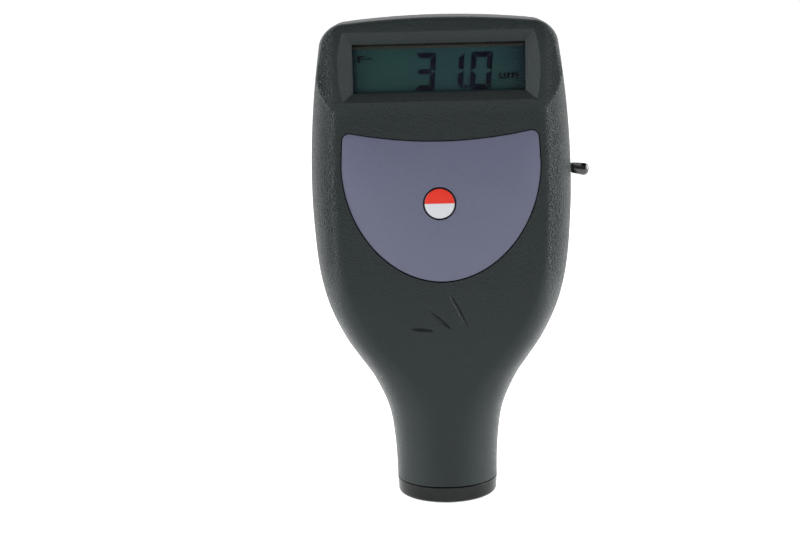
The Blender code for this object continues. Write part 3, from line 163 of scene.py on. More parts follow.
# Front shell
# The front half of the body is moulded from dark green-grey plastic, with a raised face round the
# display. The mould's spark-eroded surface leaves a fine even grain on it.
gap = 0.0003
front_wall = 0.0018
collar_top = 0.0042
body_bottom = collar_top + 0.00014
body_top = 0.1222
body_half_width = 0.03265
body_half_depth = 0.0135
top_half_width = 0.0289
neck_radius = 0.0129
neck_flat = 0.0008
neck_floor = 0.0032
room_bottom = body_bottom + neck_floor
flare_bottom, flare_top = 0.0042, 0.080
flare_curve = ((0, 0), (0.146, 0.026), (0.25, 0.094), (0.356, 0.275), (0.425, 0.455),
               (0.493, 0.627), (0.6, 0.816), (0.72, 0.93), (0.867, 0.983), (1, 1))
wide_side_round = 0.007
top_corner = 0.005
top_edge_round = 0.0045
top_arch = 0.0025
taper_power = 1.9
pod_drop = 0.0256
pod_half_width = 0.0299
pod_top_half_width = 0.0285
pod_lower_corner = 0.012
pod_corner = 0.006
pod_rise = 0.00055
pod_sink = 0.00005
pod_overhang = 0.0003
pod_edge_round = 0.0008
display_middle = body_top - 0.0120
opening_half_width = 0.0210
opening_half_height = 0.0059
frame_depth = 0.0019
key_x, key_z = -0.0005, body_top - 0.0452
key_radius, key_clearance = 0.00378, 0.00035
label_recess, label_thickness = 0.0009, 0.0005
marks = ((-0.0011, 0.0477, 0.0038, -39.5), (0.0037, 0.0498, 0.0052, -63.0), (-0.0054, 0.0452, 0.0029, -6))
mark_half_width, mark_depth, mark_ridge = 0.0007, 0.0006, 0.35
case_screws = ((0.0215, body_top - 0.0287), (0.0135, 0.0385))
lug_z = body_top - 0.0387
lug_neck_radius = 0.00125
lug_bore_start, lug_bore_end = 0.025, 0.04
probe_bore_radius = 0.0087
boss_radius, pilot_radius, pilot_end, past_seam = 0.0028, 0.0015, -0.0076, 0.001
reach, tool_front, tool_back = 0.2, -0.02, -0.008
fine_grid = (72, 10, 16, 12)


def activate(piece):
    """The one piece that the next operators work on."""
    bpy.ops.object.select_all(action="DESELECT")
    piece.select_set(True)
    bpy.context.view_layer.objects.active = piece


def name_and_place(name):
    """Names the primitive just added, and moves its place and turn into its mesh."""
    piece = bpy.context.object
    piece.name = piece.data.name = name
    bpy.ops.object.transform_apply(location=True, rotation=True, scale=True)
    return piece


def close_up(piece):
    """Merges the points that meet and turns every face outwards."""
    activate(piece)
    bpy.ops.object.mode_set(mode="EDIT")
    bpy.ops.mesh.select_all(action="SELECT")
    bpy.ops.mesh.remove_doubles(threshold=0.000002)
    bpy.ops.mesh.normals_make_consistent(inside=False)
    bpy.ops.object.mode_set(mode="OBJECT")


def pick_edges(piece, wanted):
    """Opens a piece in edit mode with just those edges selected whose two ends pass the test."""
    activate(piece)
    bpy.ops.object.mode_set(mode="EDIT")
    bpy.ops.mesh.select_mode(type="EDGE")
    bpy.ops.mesh.select_all(action="DESELECT")
    bpy.ops.object.mode_set(mode="OBJECT")
    places = piece.data.vertices
    for edge in piece.data.edges:
        edge.select = all(wanted(places[i].co) for i in edge.vertices)
    bpy.ops.object.mode_set(mode="EDIT")


def soften(piece, wanted, width, segments=3):
    """Rounds the edges whose two ends pass the test."""
    pick_edges(piece, wanted)
    bpy.ops.mesh.bevel(offset=width, segments=segments, profile=0.5, affect="EDGES")
    bpy.ops.mesh.select_mode(type="VERT")
    bpy.ops.object.mode_set(mode="OBJECT")


def block(name, low, high):
    low, high = Vector(low), Vector(high)
    bpy.ops.object.select_all(action="DESELECT")
    bpy.ops.mesh.primitive_cube_add(size=1, location=(low + high) / 2, scale=high - low)
    return name_and_place(name)


def bar(name, start, end, radius, vertices=48):
    """A round bar between two points."""
    start, end = Vector(start), Vector(end)
    along = end - start
    bpy.ops.object.select_all(action="DESELECT")
    bpy.ops.mesh.primitive_cylinder_add(vertices=vertices, radius=radius, depth=along.length,
                                        location=(start + end) / 2,
                                        rotation=along.to_track_quat("Z", "Y").to_euler())
    return name_and_place(name)


def flat_piece(name, outline, front, back):
    """A flat outline of (x, z) points, drawn as one face at y = front and extruded to y = back."""
    bpy.ops.object.select_all(action="DESELECT")
    bpy.ops.mesh.primitive_circle_add(vertices=len(outline), radius=1, fill_type="NGON")
    piece = name_and_place(name)
    for point, (x, z) in zip(piece.data.vertices, outline):
        point.co = (x, front, z)
    bpy.ops.object.mode_set(mode="EDIT")
    bpy.ops.mesh.select_all(action="SELECT")
    bpy.ops.mesh.extrude_region_move(TRANSFORM_OT_translate={"value": (0, back - front, 0)})
    bpy.ops.object.mode_set(mode="OBJECT")
    close_up(piece)
    return piece


def join_all(name, pieces):
    """Several pieces as one."""
    activate(pieces[0])
    for piece in pieces:
        piece.select_set(True)
    bpy.ops.object.join()
    pieces[0].name = pieces[0].data.name = name
    return pieces[0]


def cut(piece, tool, operation="DIFFERENCE"):
    """Takes a tool away from a piece, or joins it on, and throws the tool away."""
    modifier = piece.modifiers.new("cut", "BOOLEAN")
    modifier.object = tool
    modifier.operation = operation
    modifier.solver = "EXACT"
    activate(piece)
    bpy.ops.object.modifier_apply(modifier="cut")
    bpy.data.objects.remove(tool)


def both_sides(places):
    return [(side * x, z) for x, z in places for side in (-1, 1)]


def bars_at(name, places, start, end, radius):
    """Bars along y at each (x, z)."""
    return join_all(name, [bar(name, (x, start, z), (x, end, z), radius) for x, z in places])


def arc(x, z, radius, start, end, steps):
    """Points on an arc about (x, z), from one angle to another, in degrees."""
    turns = [math.radians(start + (end - start) * i / steps) for i in range(steps + 1)]
    return [(x + radius * math.cos(a), z + radius * math.sin(a)) for a in turns]


def mirrored(half):
    """A closed outline from its right half, given from the bottom up to the top."""
    return half + [(-x, z) for x, z in reversed(half) if x > 0.00001]


def flare_share(z):
    """How far the neck has widened at a height, from 0 at the neck to 1 at the wide part."""
    u = min(max((z - flare_bottom) / (flare_top - flare_bottom), 0), 1)
    slopes = [0]
    for (a, before), (_, _), (b, after) in zip(flare_curve, flare_curve[1:], flare_curve[2:]):
        slopes.append((after - before) / (b - a))
    slopes.append(0)
    i = max(k for k in range(len(flare_curve) - 1) if flare_curve[k][0] <= u)
    (a, low), (b, high) = flare_curve[i], flare_curve[i + 1]
    step = b - a
    t = (u - a) / step
    return (low * (1 + 2 * t) * (1 - t) ** 2 + slopes[i] * step * t * (1 - t) ** 2
            + high * t * t * (3 - 2 * t) + slopes[i + 1] * step * t * t * (t - 1))


def half_width(z):
    if z <= flare_top:
        return neck_radius + (body_half_width - neck_radius) * flare_share(z)
    v = (z - flare_top) / (body_top - flare_top)
    return body_half_width - (body_half_width - top_half_width) * v ** taper_power


def half_depth(z):
    return neck_radius + (body_half_depth - neck_radius) * flare_share(z)


def side_round(z):
    """How wide the rounded side is: almost half the round neck, and less where the body is wide."""
    neck_round = neck_radius - neck_flat
    return neck_round + (wide_side_round - neck_round) * flare_share(z)


def arch_drop(x, z):
    """How far a point near the top is lowered by the gentle arch of the top edge."""
    v = max(z - flare_top, 0) / (body_top - flare_top)
    return top_arch * (x / body_half_width) ** 2 * v * v


def body_loop(z, inset_x, inset_y, share, arc_steps, flat_steps):
    """Points round the body at a height, from the left edge over the front and back over the rear."""
    depth = (half_depth(z) - inset_y) * share
    rounding = side_round(z) - inset_x
    flat = half_width(z) - inset_x - rounding
    turns = [math.pi / 2 * i / arc_steps for i in range(arc_steps)]
    left = [(-flat - rounding * math.cos(a), depth * math.sin(a)) for a in turns]
    middle = [(flat * (2 * i / flat_steps - 1), depth) for i in range(flat_steps + 1)]
    half = left + middle + [(-x, y) for x, y in reversed(left)]
    loop = [(x, -y) for x, y in half] + [(x, y) for x, y in reversed(half[:-1])]
    return [(x, y, z - arch_drop(x, z)) for x, y in loop]


def wrap_body(name, inset, low, rows=36, crown_rows=6, arc_steps=8, flat_steps=8):
    """A grid wrapped round the body, inset all over. It runs up over the rounded crown and is closed
    at its ends."""
    corner_x, corner_y = top_corner - inset, top_edge_round - inset
    last = body_top - inset - corner_x
    loops = [(low + (last - low) * i / rows, inset, inset, 1) for i in range(rows + 1)]
    for i in range(1, crown_rows + 1):
        turn = math.pi / 2 * i / crown_rows
        loops.append((last + corner_x * math.sin(turn), inset + corner_x * (1 - math.cos(turn)),
                      inset + corner_y * (1 - math.cos(turn)), 1))
    loops = [(*loops[0][:3], 0), *loops, (*loops[-1][:3], 0)]
    points = [point for loop in loops for point in body_loop(*loop, arc_steps, flat_steps)]
    bpy.ops.object.select_all(action="DESELECT")
    bpy.ops.mesh.primitive_grid_add(x_subdivisions=len(points) // len(loops) - 1,
                                    y_subdivisions=len(loops) - 1, size=1)
    piece = name_and_place(name)
    for vertex, point in zip(piece.data.vertices, points):
        vertex.co = point
    close_up(piece)
    return piece


def pod_outline():
    """Outline of the raised display face: arched top, leaning sides and large lower corners."""
    top_x = pod_top_half_width - pod_corner
    pod_top = body_top + pod_overhang
    top_z = pod_top - arch_drop(top_x, body_top) - pod_corner
    low_x, low_z = pod_half_width - pod_lower_corner, body_top - pod_drop + pod_lower_corner
    half = [(0, body_top - pod_drop)]
    half += arc(low_x, low_z, pod_lower_corner, -90, 0, 18)
    half += arc(top_x, top_z, pod_corner, 10, 85, 12)
    half += [(top_x * k / 10, pod_top - arch_drop(top_x * k / 10, body_top)) for k in range(9, -1, -1)]
    return mirrored(half)


def pod_face(z):
    """Depth of the pod's face, which leans out from the body's face towards the top."""
    share = (z - body_top + pod_drop) / (pod_drop + pod_overhang)
    return -(body_half_depth - pod_sink + pod_rise * share)


def display_frame_tool():
    """Four slopes that narrow from the pod's face to the opening. The two at the sides bulge out
    halfway up, and the corners between them stay crisp."""
    steps = 10
    inner_depth = pod_face(display_middle) + frame_depth
    side_spread, side_bulge = (0.0029, 0.0020), 0.00115
    low_spread, high_spread = 0.0023, 0.0027
    loops = []
    for share in (0, 2):
        half = []
        for i in range(steps + 1):
            t = i / steps
            out = side_spread[0] + (side_spread[1] - side_spread[0]) * t + 4 * side_bulge * t * (1 - t)
            rise = -low_spread + (low_spread + high_spread) * t
            half.append((opening_half_width + share * out,
                         display_middle + opening_half_height * (2 * t - 1) + share * rise))
        loop = half + [(-x, z) for x, z in reversed(half)]
        loops.append([(x, inner_depth - share * frame_depth, z) for x, z in loop])
    bpy.ops.object.select_all(action="DESELECT")
    bpy.ops.mesh.primitive_circle_add(vertices=len(loops[0]), radius=1, fill_type="NGON")
    tool = name_and_place("display_frame_tool")
    bpy.ops.object.mode_set(mode="EDIT")
    bpy.ops.mesh.select_all(action="SELECT")
    bpy.ops.mesh.extrude_region_move(TRANSFORM_OT_translate={"value": (0, 0, 1)})
    bpy.ops.object.mode_set(mode="OBJECT")
    for vertex, point in zip(tool.data.vertices, loops[0] + loops[1]):
        vertex.co = point
    close_up(tool)
    return tool


def mark_tool():
    """Three long pointed hollows, each a thin stretched ball half sunk in the front face. Its sunk
    half is drawn to a ridge, so that one wall slopes gently and the other is steep."""
    hollows = []
    for x, z, half_length, lean in marks:
        bpy.ops.object.select_all(action="DESELECT")
        bpy.ops.mesh.primitive_uv_sphere_add(segments=32, ring_count=24, radius=1)
        hollow = name_and_place("mark_tool")
        hollow.data.transform(Matrix.Rotation(math.pi / 2, 4, "Y"))
        for point in hollow.data.vertices:
            wide = math.hypot(point.co.y, point.co.z)
            if point.co.y > 0 and wide > 0.001:
                share = point.co.z / wide
                point.co.y = wide * min((1 + share) / (1 + mark_ridge), (1 - share) / (1 - mark_ridge))
        place = Matrix.Translation((x, -body_half_depth, z)) @ Matrix.Rotation(-math.radians(lean), 4, "Y")
        size = Matrix.Diagonal((half_length, mark_depth, mark_half_width, 1))
        hollow.data.transform(place @ size)
        hollows.append(hollow)
    return join_all("mark_tool", hollows)


def label_outline(grow=0.0):
    """Half a superellipse below, short sides, round corners and a top edge that dips."""
    side_x, top_x, corner, smile, power = 0.02435, 0.0240, 0.0018, 0.0028, 1.95
    top = body_top - 0.0299
    middle, point = top - 0.0058, 0.0290
    half = []
    for i in range(33):
        turn = math.pi / 2 * i / 32
        half.append(((side_x + grow) * math.sin(turn) ** (2 / power),
                     middle - (point + grow) * math.cos(turn) ** (2 / power)))
    corner_x = top_x - corner
    corner_z = top + smile * (corner_x / side_x) ** 2 - corner
    half += arc(corner_x, corner_z, corner + grow, 0, 90, 8)
    half += [(corner_x * k / 12, top + grow + smile * (corner_x * k / 12 / side_x) ** 2)
             for k in range(11, -1, -1)]
    return mirrored(half)


def key_bore(name):
    """The bore that the key stands in, through the shell and the label."""
    return bar(name, (key_x, tool_front, key_z), (key_x, tool_back, key_z), key_radius + key_clearance, 64)


def bore_ends(shell):
    """The bores for the strap eye's neck and for the probe, which both halves share."""
    cut(shell, bar("lug_bore", (lug_bore_start, 0, lug_z), (lug_bore_end, 0, lug_z), lug_neck_radius + gap))
    cut(shell, bar("nose_bore", (0, 0, 0), (0, 0, room_bottom + 0.001), probe_bore_radius, 64))


front = wrap_body("front_moulding", 0, body_bottom, *fine_grid)
pod = flat_piece("pod", pod_outline(), -body_half_depth, 0)
for point in pod.data.vertices:
    if point.co.y < -body_half_depth / 2:
        point.co.y = pod_face(point.co.z)
soften(pod, lambda place: place.y < -body_half_depth / 2, pod_edge_round, 5)
cut(front, pod, "UNION")
cut(front, block("parting", (-reach, -gap / 2, -reach), (reach, reach, reach)))
cut(front, wrap_body("front_room", front_wall, room_bottom))
cut(front, bars_at("case_bosses", both_sides(case_screws), -body_half_depth + front_wall * 3 / 4, -gap / 2,
                   boss_radius), "UNION")
cut(front, bars_at("case_pilots", both_sides(case_screws), pilot_end, past_seam, pilot_radius))
cut(front, display_frame_tool())
cut(front, block("opening", (-opening_half_width, tool_front, display_middle - opening_half_height),
                 (opening_half_width, tool_back, display_middle + opening_half_height)))
cut(front, flat_piece("label_recess", label_outline(gap), tool_front, -body_half_depth + label_recess))
cut(front, key_bore("key_bore"))
cut(front, mark_tool())
bore_ends(front)


def on_piece(finish):
    """The piece's own coordinates, in metres."""
    return add_node(finish, "ShaderNodeTexCoord").outputs["Object"]


def mottle(finish, place, size, detail=2.0):
    """Soft noise whose blotches are about the size given."""
    noise = add_node(finish, "ShaderNodeTexNoise", {"Vector": place, "Scale": 1 / size, "Detail": detail})
    return noise.outputs["Fac"]


def tint(finish, value, first, second):
    """A colour that moves from first to second with the value."""
    first, second = (end if isinstance(end, bpy.types.NodeSocket) else (*end, 1) for end in (first, second))
    return add_node(finish, "ShaderNodeMix", {0: value, 6: first, 7: second}, data_type="RGBA").outputs[2]


def bump(finish, height, depth, strength=1.0, edge=0.0):
    """A bumped surface. With an edge width its sharp edges catch the light as if they were rounded."""
    made = add_node(finish, "ShaderNodeBump", {"Height": height, "Distance": depth, "Strength": strength})
    if edge:
        rounded = add_node(finish, "ShaderNodeBevel", {"Radius": edge}, samples=6)
        finish.node_tree.links.new(rounded.outputs["Normal"], made.inputs["Normal"])
    return made.outputs["Normal"]


shell_plastic = start_finish("shell_plastic", (0.011, 0.018, 0.017), 0.40, Specular_IOR_Level=0.27,
                             Specular_Tint=(0.86, 0.95, 1.0, 1))
shell_place = on_piece(shell_plastic)
shell_grain = add_node(shell_plastic, "ShaderNodeTexVoronoi", {"Vector": shell_place, "Scale": 1 / 0.00048})
shell_noise = mottle(shell_plastic, shell_place, 0.00032, 3)
shell_height = work_out(shell_plastic, "ADD", shell_grain.outputs["Distance"], shell_noise)
shell_split = split(shell_plastic, shell_place)
from_middle = work_out(shell_plastic, "ABSOLUTE", shell_split["X"])
coarse_side = spread(shell_plastic, from_middle, 0.18, 1.0, 0.0250, 0.0280)
smooth_neck = spread(shell_plastic, shell_split["Z"], 0.12, 1.0, 0.036, 0.062)
join_shader(shell_plastic,
            Base_Color=tint(shell_plastic, mottle(shell_plastic, shell_place, 0.012),
                            (0.0064, 0.0092, 0.0090), (0.0082, 0.0110, 0.0107)),
            Roughness=spread(shell_plastic, shell_height, 0.22, 0.46, 0.5, 1.1),
            Normal=bump(shell_plastic, shell_height, 0.00062,
                        work_out(shell_plastic, "MULTIPLY", coarse_side, smooth_neck), 0.0002))


def settle(piece, finish, body, slot, *nodes, sharp=32):
    """Shades a finished piece, gives it its finish and its body, and hides the nodes it stands for.
    Its slot is not used.
    """
    activate(piece)
    bpy.ops.object.shade_smooth_by_angle(angle=math.radians(sharp))
    piece.data.materials.clear()
    piece.data.materials.append(finish)
    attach(piece, body)
    if nodes:
        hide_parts(*nodes)


def dress(node, finish):
    """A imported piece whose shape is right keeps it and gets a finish."""
    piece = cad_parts[node]
    piece.data.materials.clear()
    piece.data.materials.append(finish)


settle(front, shell_plastic, "housing", "shell", "front_shell", sharp=20)


# Rear shell
# The rear half is moulded from the same plastic. A bay for two cells is let into it behind the door,
# four deep holes carry the case screws, and a thin lip stands into the front half behind the seam.
rear_wall = 0.0024
door_thickness = 0.0018
door_inside = body_half_depth - door_thickness
seat_face = door_inside - gap
cell_radius = body_half_depth * 0.389
cell_half_gap, cell_headroom, cell_side_room = 0.00045, 0.00085, 0.00125
cell_x = cell_radius + cell_half_gap
cell_y = door_inside - cell_headroom - cell_radius
bay_wall = 0.0012
bay_half_width = cell_x + cell_radius + cell_side_room
bay_floor = cell_y - cell_radius - gap - bay_wall
bay_top = body_top - 0.0183
bay_bottom = bay_top - 0.0505
seat_thickness, seat_margin, catch_depth = 0.0018, 0.0012, 0.0028
door_half_width = bay_half_width + 0.0023
door_bottom, door_top = bay_bottom - 0.0033, bay_top + 0.0049
hinge_z = door_top - door_thickness / 2
tab_x, tab_half_width, tab_length, tab_thickness = 0.009, 0.002, 0.0012, 0.0008
latch_half_width, latch_thickness, latch_depth = 0.004, 0.0012, 0.0018
latch_low = door_bottom + 0.0007
screw_seat = body_half_depth - 0.0049
screw_head_radius, screw_shank_radius, screw_sleeve_wall = 0.0025, 0.0012, 0.0011
nail_radius, nail_depth = 0.004, 0.0014
lip_inset, lip_thickness, lip_reach, lip_root = front_wall + gap, 0.0009, 0.0015, 0.0012


def door_outline(grow=0.0):
    radius = 0.0015
    x, low, high = door_half_width + grow, door_bottom - grow, door_top + grow
    return mirrored([(0, low)] + arc(x - radius, low + radius, radius, -90, 0, 8) + [(x, high), (0, high)])


rear = wrap_body("rear_moulding", 0, body_bottom, *fine_grid)
cut(rear, block("parting", (-reach, -reach, -reach), (reach, gap / 2, reach)))
cut(rear, wrap_body("rear_room", rear_wall, room_bottom))
lip = wrap_body("lip", lip_inset, room_bottom + gap)
cut(lip, wrap_body("lip_room", lip_inset + lip_thickness, room_bottom - gap))
cut(lip, block("lip_front", (-reach, -reach, -reach), (reach, -lip_reach, reach)))
cut(lip, block("lip_rear", (-reach, lip_root, -reach), (reach, reach, reach)))
cut(rear, lip, "UNION")
seat_x = door_half_width + gap + seat_margin
cut(rear, block("door_seat", (-seat_x, seat_face - seat_thickness, door_bottom - gap - seat_margin),
                (seat_x, body_half_depth - rear_wall / 3, door_top + gap + 2 * seat_margin)), "UNION")
cut(rear, block("bay", (-bay_half_width - bay_wall, bay_floor, bay_bottom - bay_wall),
                (bay_half_width + bay_wall, seat_face, bay_top + bay_wall)), "UNION")
cut(rear, flat_piece("door_recess", door_outline(gap), seat_face, -tool_front))
cut(rear, block("bay_room", (-bay_half_width, bay_floor + bay_wall, bay_bottom),
                (bay_half_width, -tool_front, bay_top)))
cut(rear, bars_at("screw_sleeves", both_sides(case_screws), gap / 2, body_half_depth - rear_wall,
                  screw_head_radius + gap + screw_sleeve_wall), "UNION")
cut(rear, bars_at("screw_holes", both_sides(case_screws), -past_seam, -tool_front, screw_shank_radius + gap))
cut(rear, bars_at("head_holes", both_sides(case_screws), screw_seat - gap, -tool_front,
                  screw_head_radius + gap))
swing = door_thickness / 2 + tab_length + gap
for side in (-1, 1):
    middle = side * tab_x
    cut(rear, block("tab_room", (middle - tab_half_width - gap, seat_face - catch_depth, hinge_z - swing),
                    (middle + tab_half_width + gap, door_inside + tab_thickness + gap, hinge_z + swing)))
cut(rear, block("latch_room", (-latch_half_width - gap, seat_face - catch_depth, latch_low - gap),
                (latch_half_width + gap, door_inside, latch_low + latch_thickness + gap)))
nail_place = (0, body_half_depth + nail_radius - nail_depth, door_bottom - gap)
bpy.ops.object.select_all(action="DESELECT")
bpy.ops.mesh.primitive_uv_sphere_add(segments=48, ring_count=32, radius=nail_radius, location=nail_place)
cut(rear, name_and_place("nail_notch"))
bore_ends(rear)
settle(rear, shell_plastic, "housing", "shell", "rear_shell")


# Battery door
# The door hangs on two tabs at its top edge and snaps shut by a latch at its foot. Five grooves give
# the thumb a grip. It is moulded from the shell's plastic and kept as a body of its own.
grip_half_width, grip_depth, grip_pitch, grip_start, grip_count = 0.007, 0.0005, 0.0022, 0.0052, 5
door_edge_round, hinge_round_length, near_face = 0.0003, 0.0012, 0.0001
door = flat_piece("door_moulding", door_outline(), door_inside, body_half_depth)
soften(door, lambda place: place.z > door_top - gap, door_thickness * 0.49, 6)
soften(door, lambda place: place.y > body_half_depth - near_face and place.z < door_top - hinge_round_length,
       door_edge_round, 3)
for side in (-1, 1):
    middle = side * tab_x
    cut(door, block("tab", (middle - tab_half_width, door_inside, hinge_z - gap),
                    (middle + tab_half_width, door_inside + tab_thickness, door_top + tab_length)), "UNION")
cut(door, block("latch", (-latch_half_width, door_inside - latch_depth, latch_low),
                (latch_half_width, door_inside + door_thickness / 2, latch_low + latch_thickness)), "UNION")
for i in range(grip_count):
    groove_z = door_bottom + grip_start + grip_pitch * i
    cut(door, bar("groove", (-grip_half_width, body_half_depth + grip_depth, groove_z),
                  (grip_half_width, body_half_depth + grip_depth, groove_z), 2 * grip_depth, 32))
settle(door, shell_plastic, "door", "shell", "battery_door")


# Label
# A slate blue-grey printed film on a stiff plate lies in a recess of the front shell. Its edge is
# rounded, and the places for its print stay bare.
def surface(finish, colour, roughness, relief=None, place=None):
    """Gives a finish soft noise. Each list opens with the size and the detail of its blotches. Then
    come the two colours, the two roughnesses, or the relief's depth, strength and rounded edge."""
    if place is None:
        place = on_piece(finish)
    size, detail, *ends = colour
    sockets = {"Base_Color": tint(finish, mottle(finish, place, size, detail), *ends)}
    size, detail, *ends = roughness
    sockets["Roughness"] = spread(finish, mottle(finish, place, size, detail), *ends)
    if relief:
        size, detail, *depths = relief
        sockets["Normal"] = bump(finish, mottle(finish, place, size, detail), *depths)
    join_shader(finish, **sockets)


label_face = -(body_half_depth - label_recess) - gap - label_thickness
label_edge_round = 0.00012
label = flat_piece("label_plate", label_outline(), label_face, label_face + label_thickness)
soften(label, lambda place: place.y < label_face + near_face, label_edge_round, 2)
cut(label, key_bore("label_hole"))
label_film = start_finish("label_film", (0.118, 0.123, 0.186), 0.45, Specular_IOR_Level=0.3)
surface(label_film, (0.0006, 4, (0.082, 0.087, 0.135), (0.097, 0.102, 0.153)), (0.006, 2, 0.42, 0.48),
        (0.00035, 3, 0.00002, 0.8, 0.0001))
settle(label, label_film, "housing", "label", "label_panel")


# Key
# One round key is moulded in two halves of colour, red above and white below. It stands in a bore
# through the label and presses a switch on the board.
def turn(name, profile, ring=False, segments=64):
    """Turns a profile of (radius, height) about z: a disc or circle is extruded and sized from point
    to point. A ring's profile comes back to where it starts."""
    radius, height = profile[0]
    bpy.ops.object.select_all(action="DESELECT")
    bpy.ops.mesh.primitive_circle_add(vertices=segments, radius=radius, location=(0, 0, height),
                                      fill_type="NOTHING" if ring else "NGON")
    piece = name_and_place(name)
    bpy.ops.object.mode_set(mode="EDIT")
    bpy.ops.mesh.select_all(action="SELECT")
    steps = profile + profile[:1] if ring else profile
    for (last, low), (wide, high) in zip(steps, steps[1:]):
        bpy.ops.mesh.extrude_region_move(TRANSFORM_OT_translate={"value": (0, 0, high - low)})
        bpy.ops.transform.resize(value=(wide / last, wide / last, 1), center_override=(0, 0, high))
    bpy.ops.object.mode_set(mode="OBJECT")
    close_up(piece)
    return piece


def round_over(radius, height, width, steps=5):
    """Profile points over a rounded outer edge, from its side up to its top."""
    return [(radius - width * (1 - math.cos(a)), height - width * (1 - math.sin(a)))
            for a in (math.pi / 2 * i / steps for i in range(steps + 1))]


def distance_from(finish, place, centre, axes):
    """How far a point is from a centre, along the axes that are 1."""
    shifted = add_node(finish, "ShaderNodeVectorMath", {0: place, 1: centre}, operation="SUBTRACT")
    flat = add_node(finish, "ShaderNodeVectorMath", {0: shifted.outputs[0], 1: axes}, operation="MULTIPLY")
    return add_node(finish, "ShaderNodeVectorMath", {0: flat.outputs[0]}, operation="LENGTH").outputs["Value"]


key_face = -label_face + 0.0002
key_inside = body_half_depth - front_wall - gap
stem_radius, stem_length, key_rim_radius, key_rim_height = 0.0016, 0.0035, 0.0049, 0.0008
key_profile = [(stem_radius, key_inside - stem_length), (stem_radius, key_inside - key_rim_height),
               (key_rim_radius, key_inside - key_rim_height), (key_rim_radius, key_inside),
               (key_radius, key_inside)]
key_profile += round_over(key_radius, key_face - 0.00005, 0.0003)
key_profile += [(key_radius * 0.5, key_face - 0.00001), (0.0001, key_face)]
key = turn("key_button", key_profile)
key.data.transform(Matrix.Translation((key_x, 0, key_z)) @ Matrix.Rotation(math.pi / 2, 4, "X"))
key_plastic = start_finish("key_plastic", (0.7, 0.7, 0.7), 0.35, Specular_IOR_Level=0.3)
key_place = on_piece(key_plastic)
key_blend = 0.00006
key_rise = split(key_plastic, key_place)["Z"]
key_upper = spread(key_plastic, key_rise, 0, 1, key_z - key_blend, key_z + key_blend)
key_halves = tint(key_plastic, key_upper, (0.49, 0.50, 0.53), (0.54, 0.021, 0.009))
key_away = distance_from(key_plastic, key_place, (key_x, 0, key_z), (1, 0, 1))
# The key's rim is painted near black: painted shade that stands for the shadow in the clearance gap round the
# key.
key_gap_shade = spread(key_plastic, key_away, 0, 1, key_radius - 3 * key_blend, key_radius - key_blend)
join_shader(key_plastic,
            Base_Color=tint(key_plastic, key_gap_shade, key_halves, (0.02, 0.02, 0.02)),
            Roughness=spread(key_plastic, mottle(key_plastic, key_place, 0.0006), 0.32, 0.42),
            Normal=bump(key_plastic, mottle(key_plastic, key_place, 0.0004), 0.000008, 0.5))
settle(key, key_plastic, "key", "key", "key_cap")


# Display
# A dark teal segment display lies behind a clear cover plate. Its segments are near black. A dark strip
# along its upper edge is partly the display's own dark border and partly painted shadow cast by the
# frame's top edge, with a near-black line of painted shade at its top. The plate is clear by its alpha, so
# that light reaches the display.
glass_low, glass_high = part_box("display_glass")
digit_height, digit_width, stroke = 0.0092, 0.00525, 0.00135
digit_low, digit_lean = display_middle - 0.0057, math.tan(math.radians(4.5))
digit_rights = (-0.00085, 0.00605, 0.01295)
digit_strokes = ("abgcd", "bc", "abcdef")
dot_left, dot_right, dot_low, dot_high = 0.0061, 0.0070, 0.0003, 0.0012
band_overlap = 0.001
print_front, print_back = glass_low.y - 0.00006, glass_low.y - 0.00001


def segment(letter, right):
    """One bar of a digit as an outline with mitred ends, which leans to the right."""
    w, h, s, room = digit_width, digit_height, stroke, stroke * 0.09
    top = [(room, h), (w - room, h), (w - s - room, h - s), (s + room, h - s)]
    upper = [(w, h - room), (w, (h + room) / 2), (w - s, (h + s + room) / 2), (w - s, h - s - room)]
    middle = [(s / 2 + room, h / 2), (s + room, (h + s) / 2), (w - s - room, (h + s) / 2),
              (w - s / 2 - room, h / 2), (w - s - room, (h - s) / 2), (s + room, (h - s) / 2)]
    shapes = {"a": top, "b": upper, "c": [(x, h - z) for x, z in upper], "d": [(x, h - z) for x, z in top],
              "e": [(w - x, h - z) for x, z in upper], "f": [(w - x, z) for x, z in upper], "g": middle}
    return [(right - w + x + (z - h / 2) * digit_lean, digit_low + z) for x, z in shapes[letter]]


def word(name, text, left, right, low, high):
    """A small word on the display, as a mesh that fills the space given."""
    bpy.ops.object.select_all(action="DESELECT")
    bpy.ops.object.text_add(location=(0, 0, 0))
    letters = bpy.context.object
    letters.data.body = text
    letters.data.size = 1
    letters.data.extrude = 0.01
    letters.data.offset = 0.028
    bpy.ops.object.convert(target="MESH")
    letters = bpy.context.object
    corners = [point.co for point in letters.data.vertices]
    start, foot = min(c.x for c in corners), min(c.y for c in corners)
    wide = (right - left) / (max(c.x for c in corners) - start)
    tall = (high - low) / (max(c.y for c in corners) - foot)
    for point in letters.data.vertices:
        point.co = (left + (point.co.x - start) * wide, print_front if point.co.z > 0 else print_back,
                    low + (point.co.y - foot) * tall)
    letters.name = letters.data.name = name
    close_up(letters)
    return letters


bars = []
for right, letters in zip(digit_rights, digit_strokes):
    bars += [flat_piece("bar", segment(letter, right), print_front, print_back) for letter in letters]
bars.append(block("bar", (dot_left, print_front, digit_low + dot_low),
                  (dot_right, print_back, digit_low + dot_high)))
bars.append(word("unit_mark", "um", 0.0146, 0.0194, display_middle - 0.0033, display_middle - 0.0017))
bars.append(word("mode_mark", "Fe", -0.0198, -0.0160, display_middle + 0.0014, display_middle + 0.0031))
digits = join_all("display_segments", bars)
segment_ink = start_finish("segment_ink", (0.004, 0.0045, 0.010), 0.6, Specular_IOR_Level=0.0)
ink_place = on_piece(segment_ink)
join_shader(segment_ink, Base_Color=tint(segment_ink, mottle(segment_ink, ink_place, 0.003),
                                         (0.0035, 0.0038, 0.0085), (0.0055, 0.006, 0.012)))
settle(digits, segment_ink, "housing", "display")

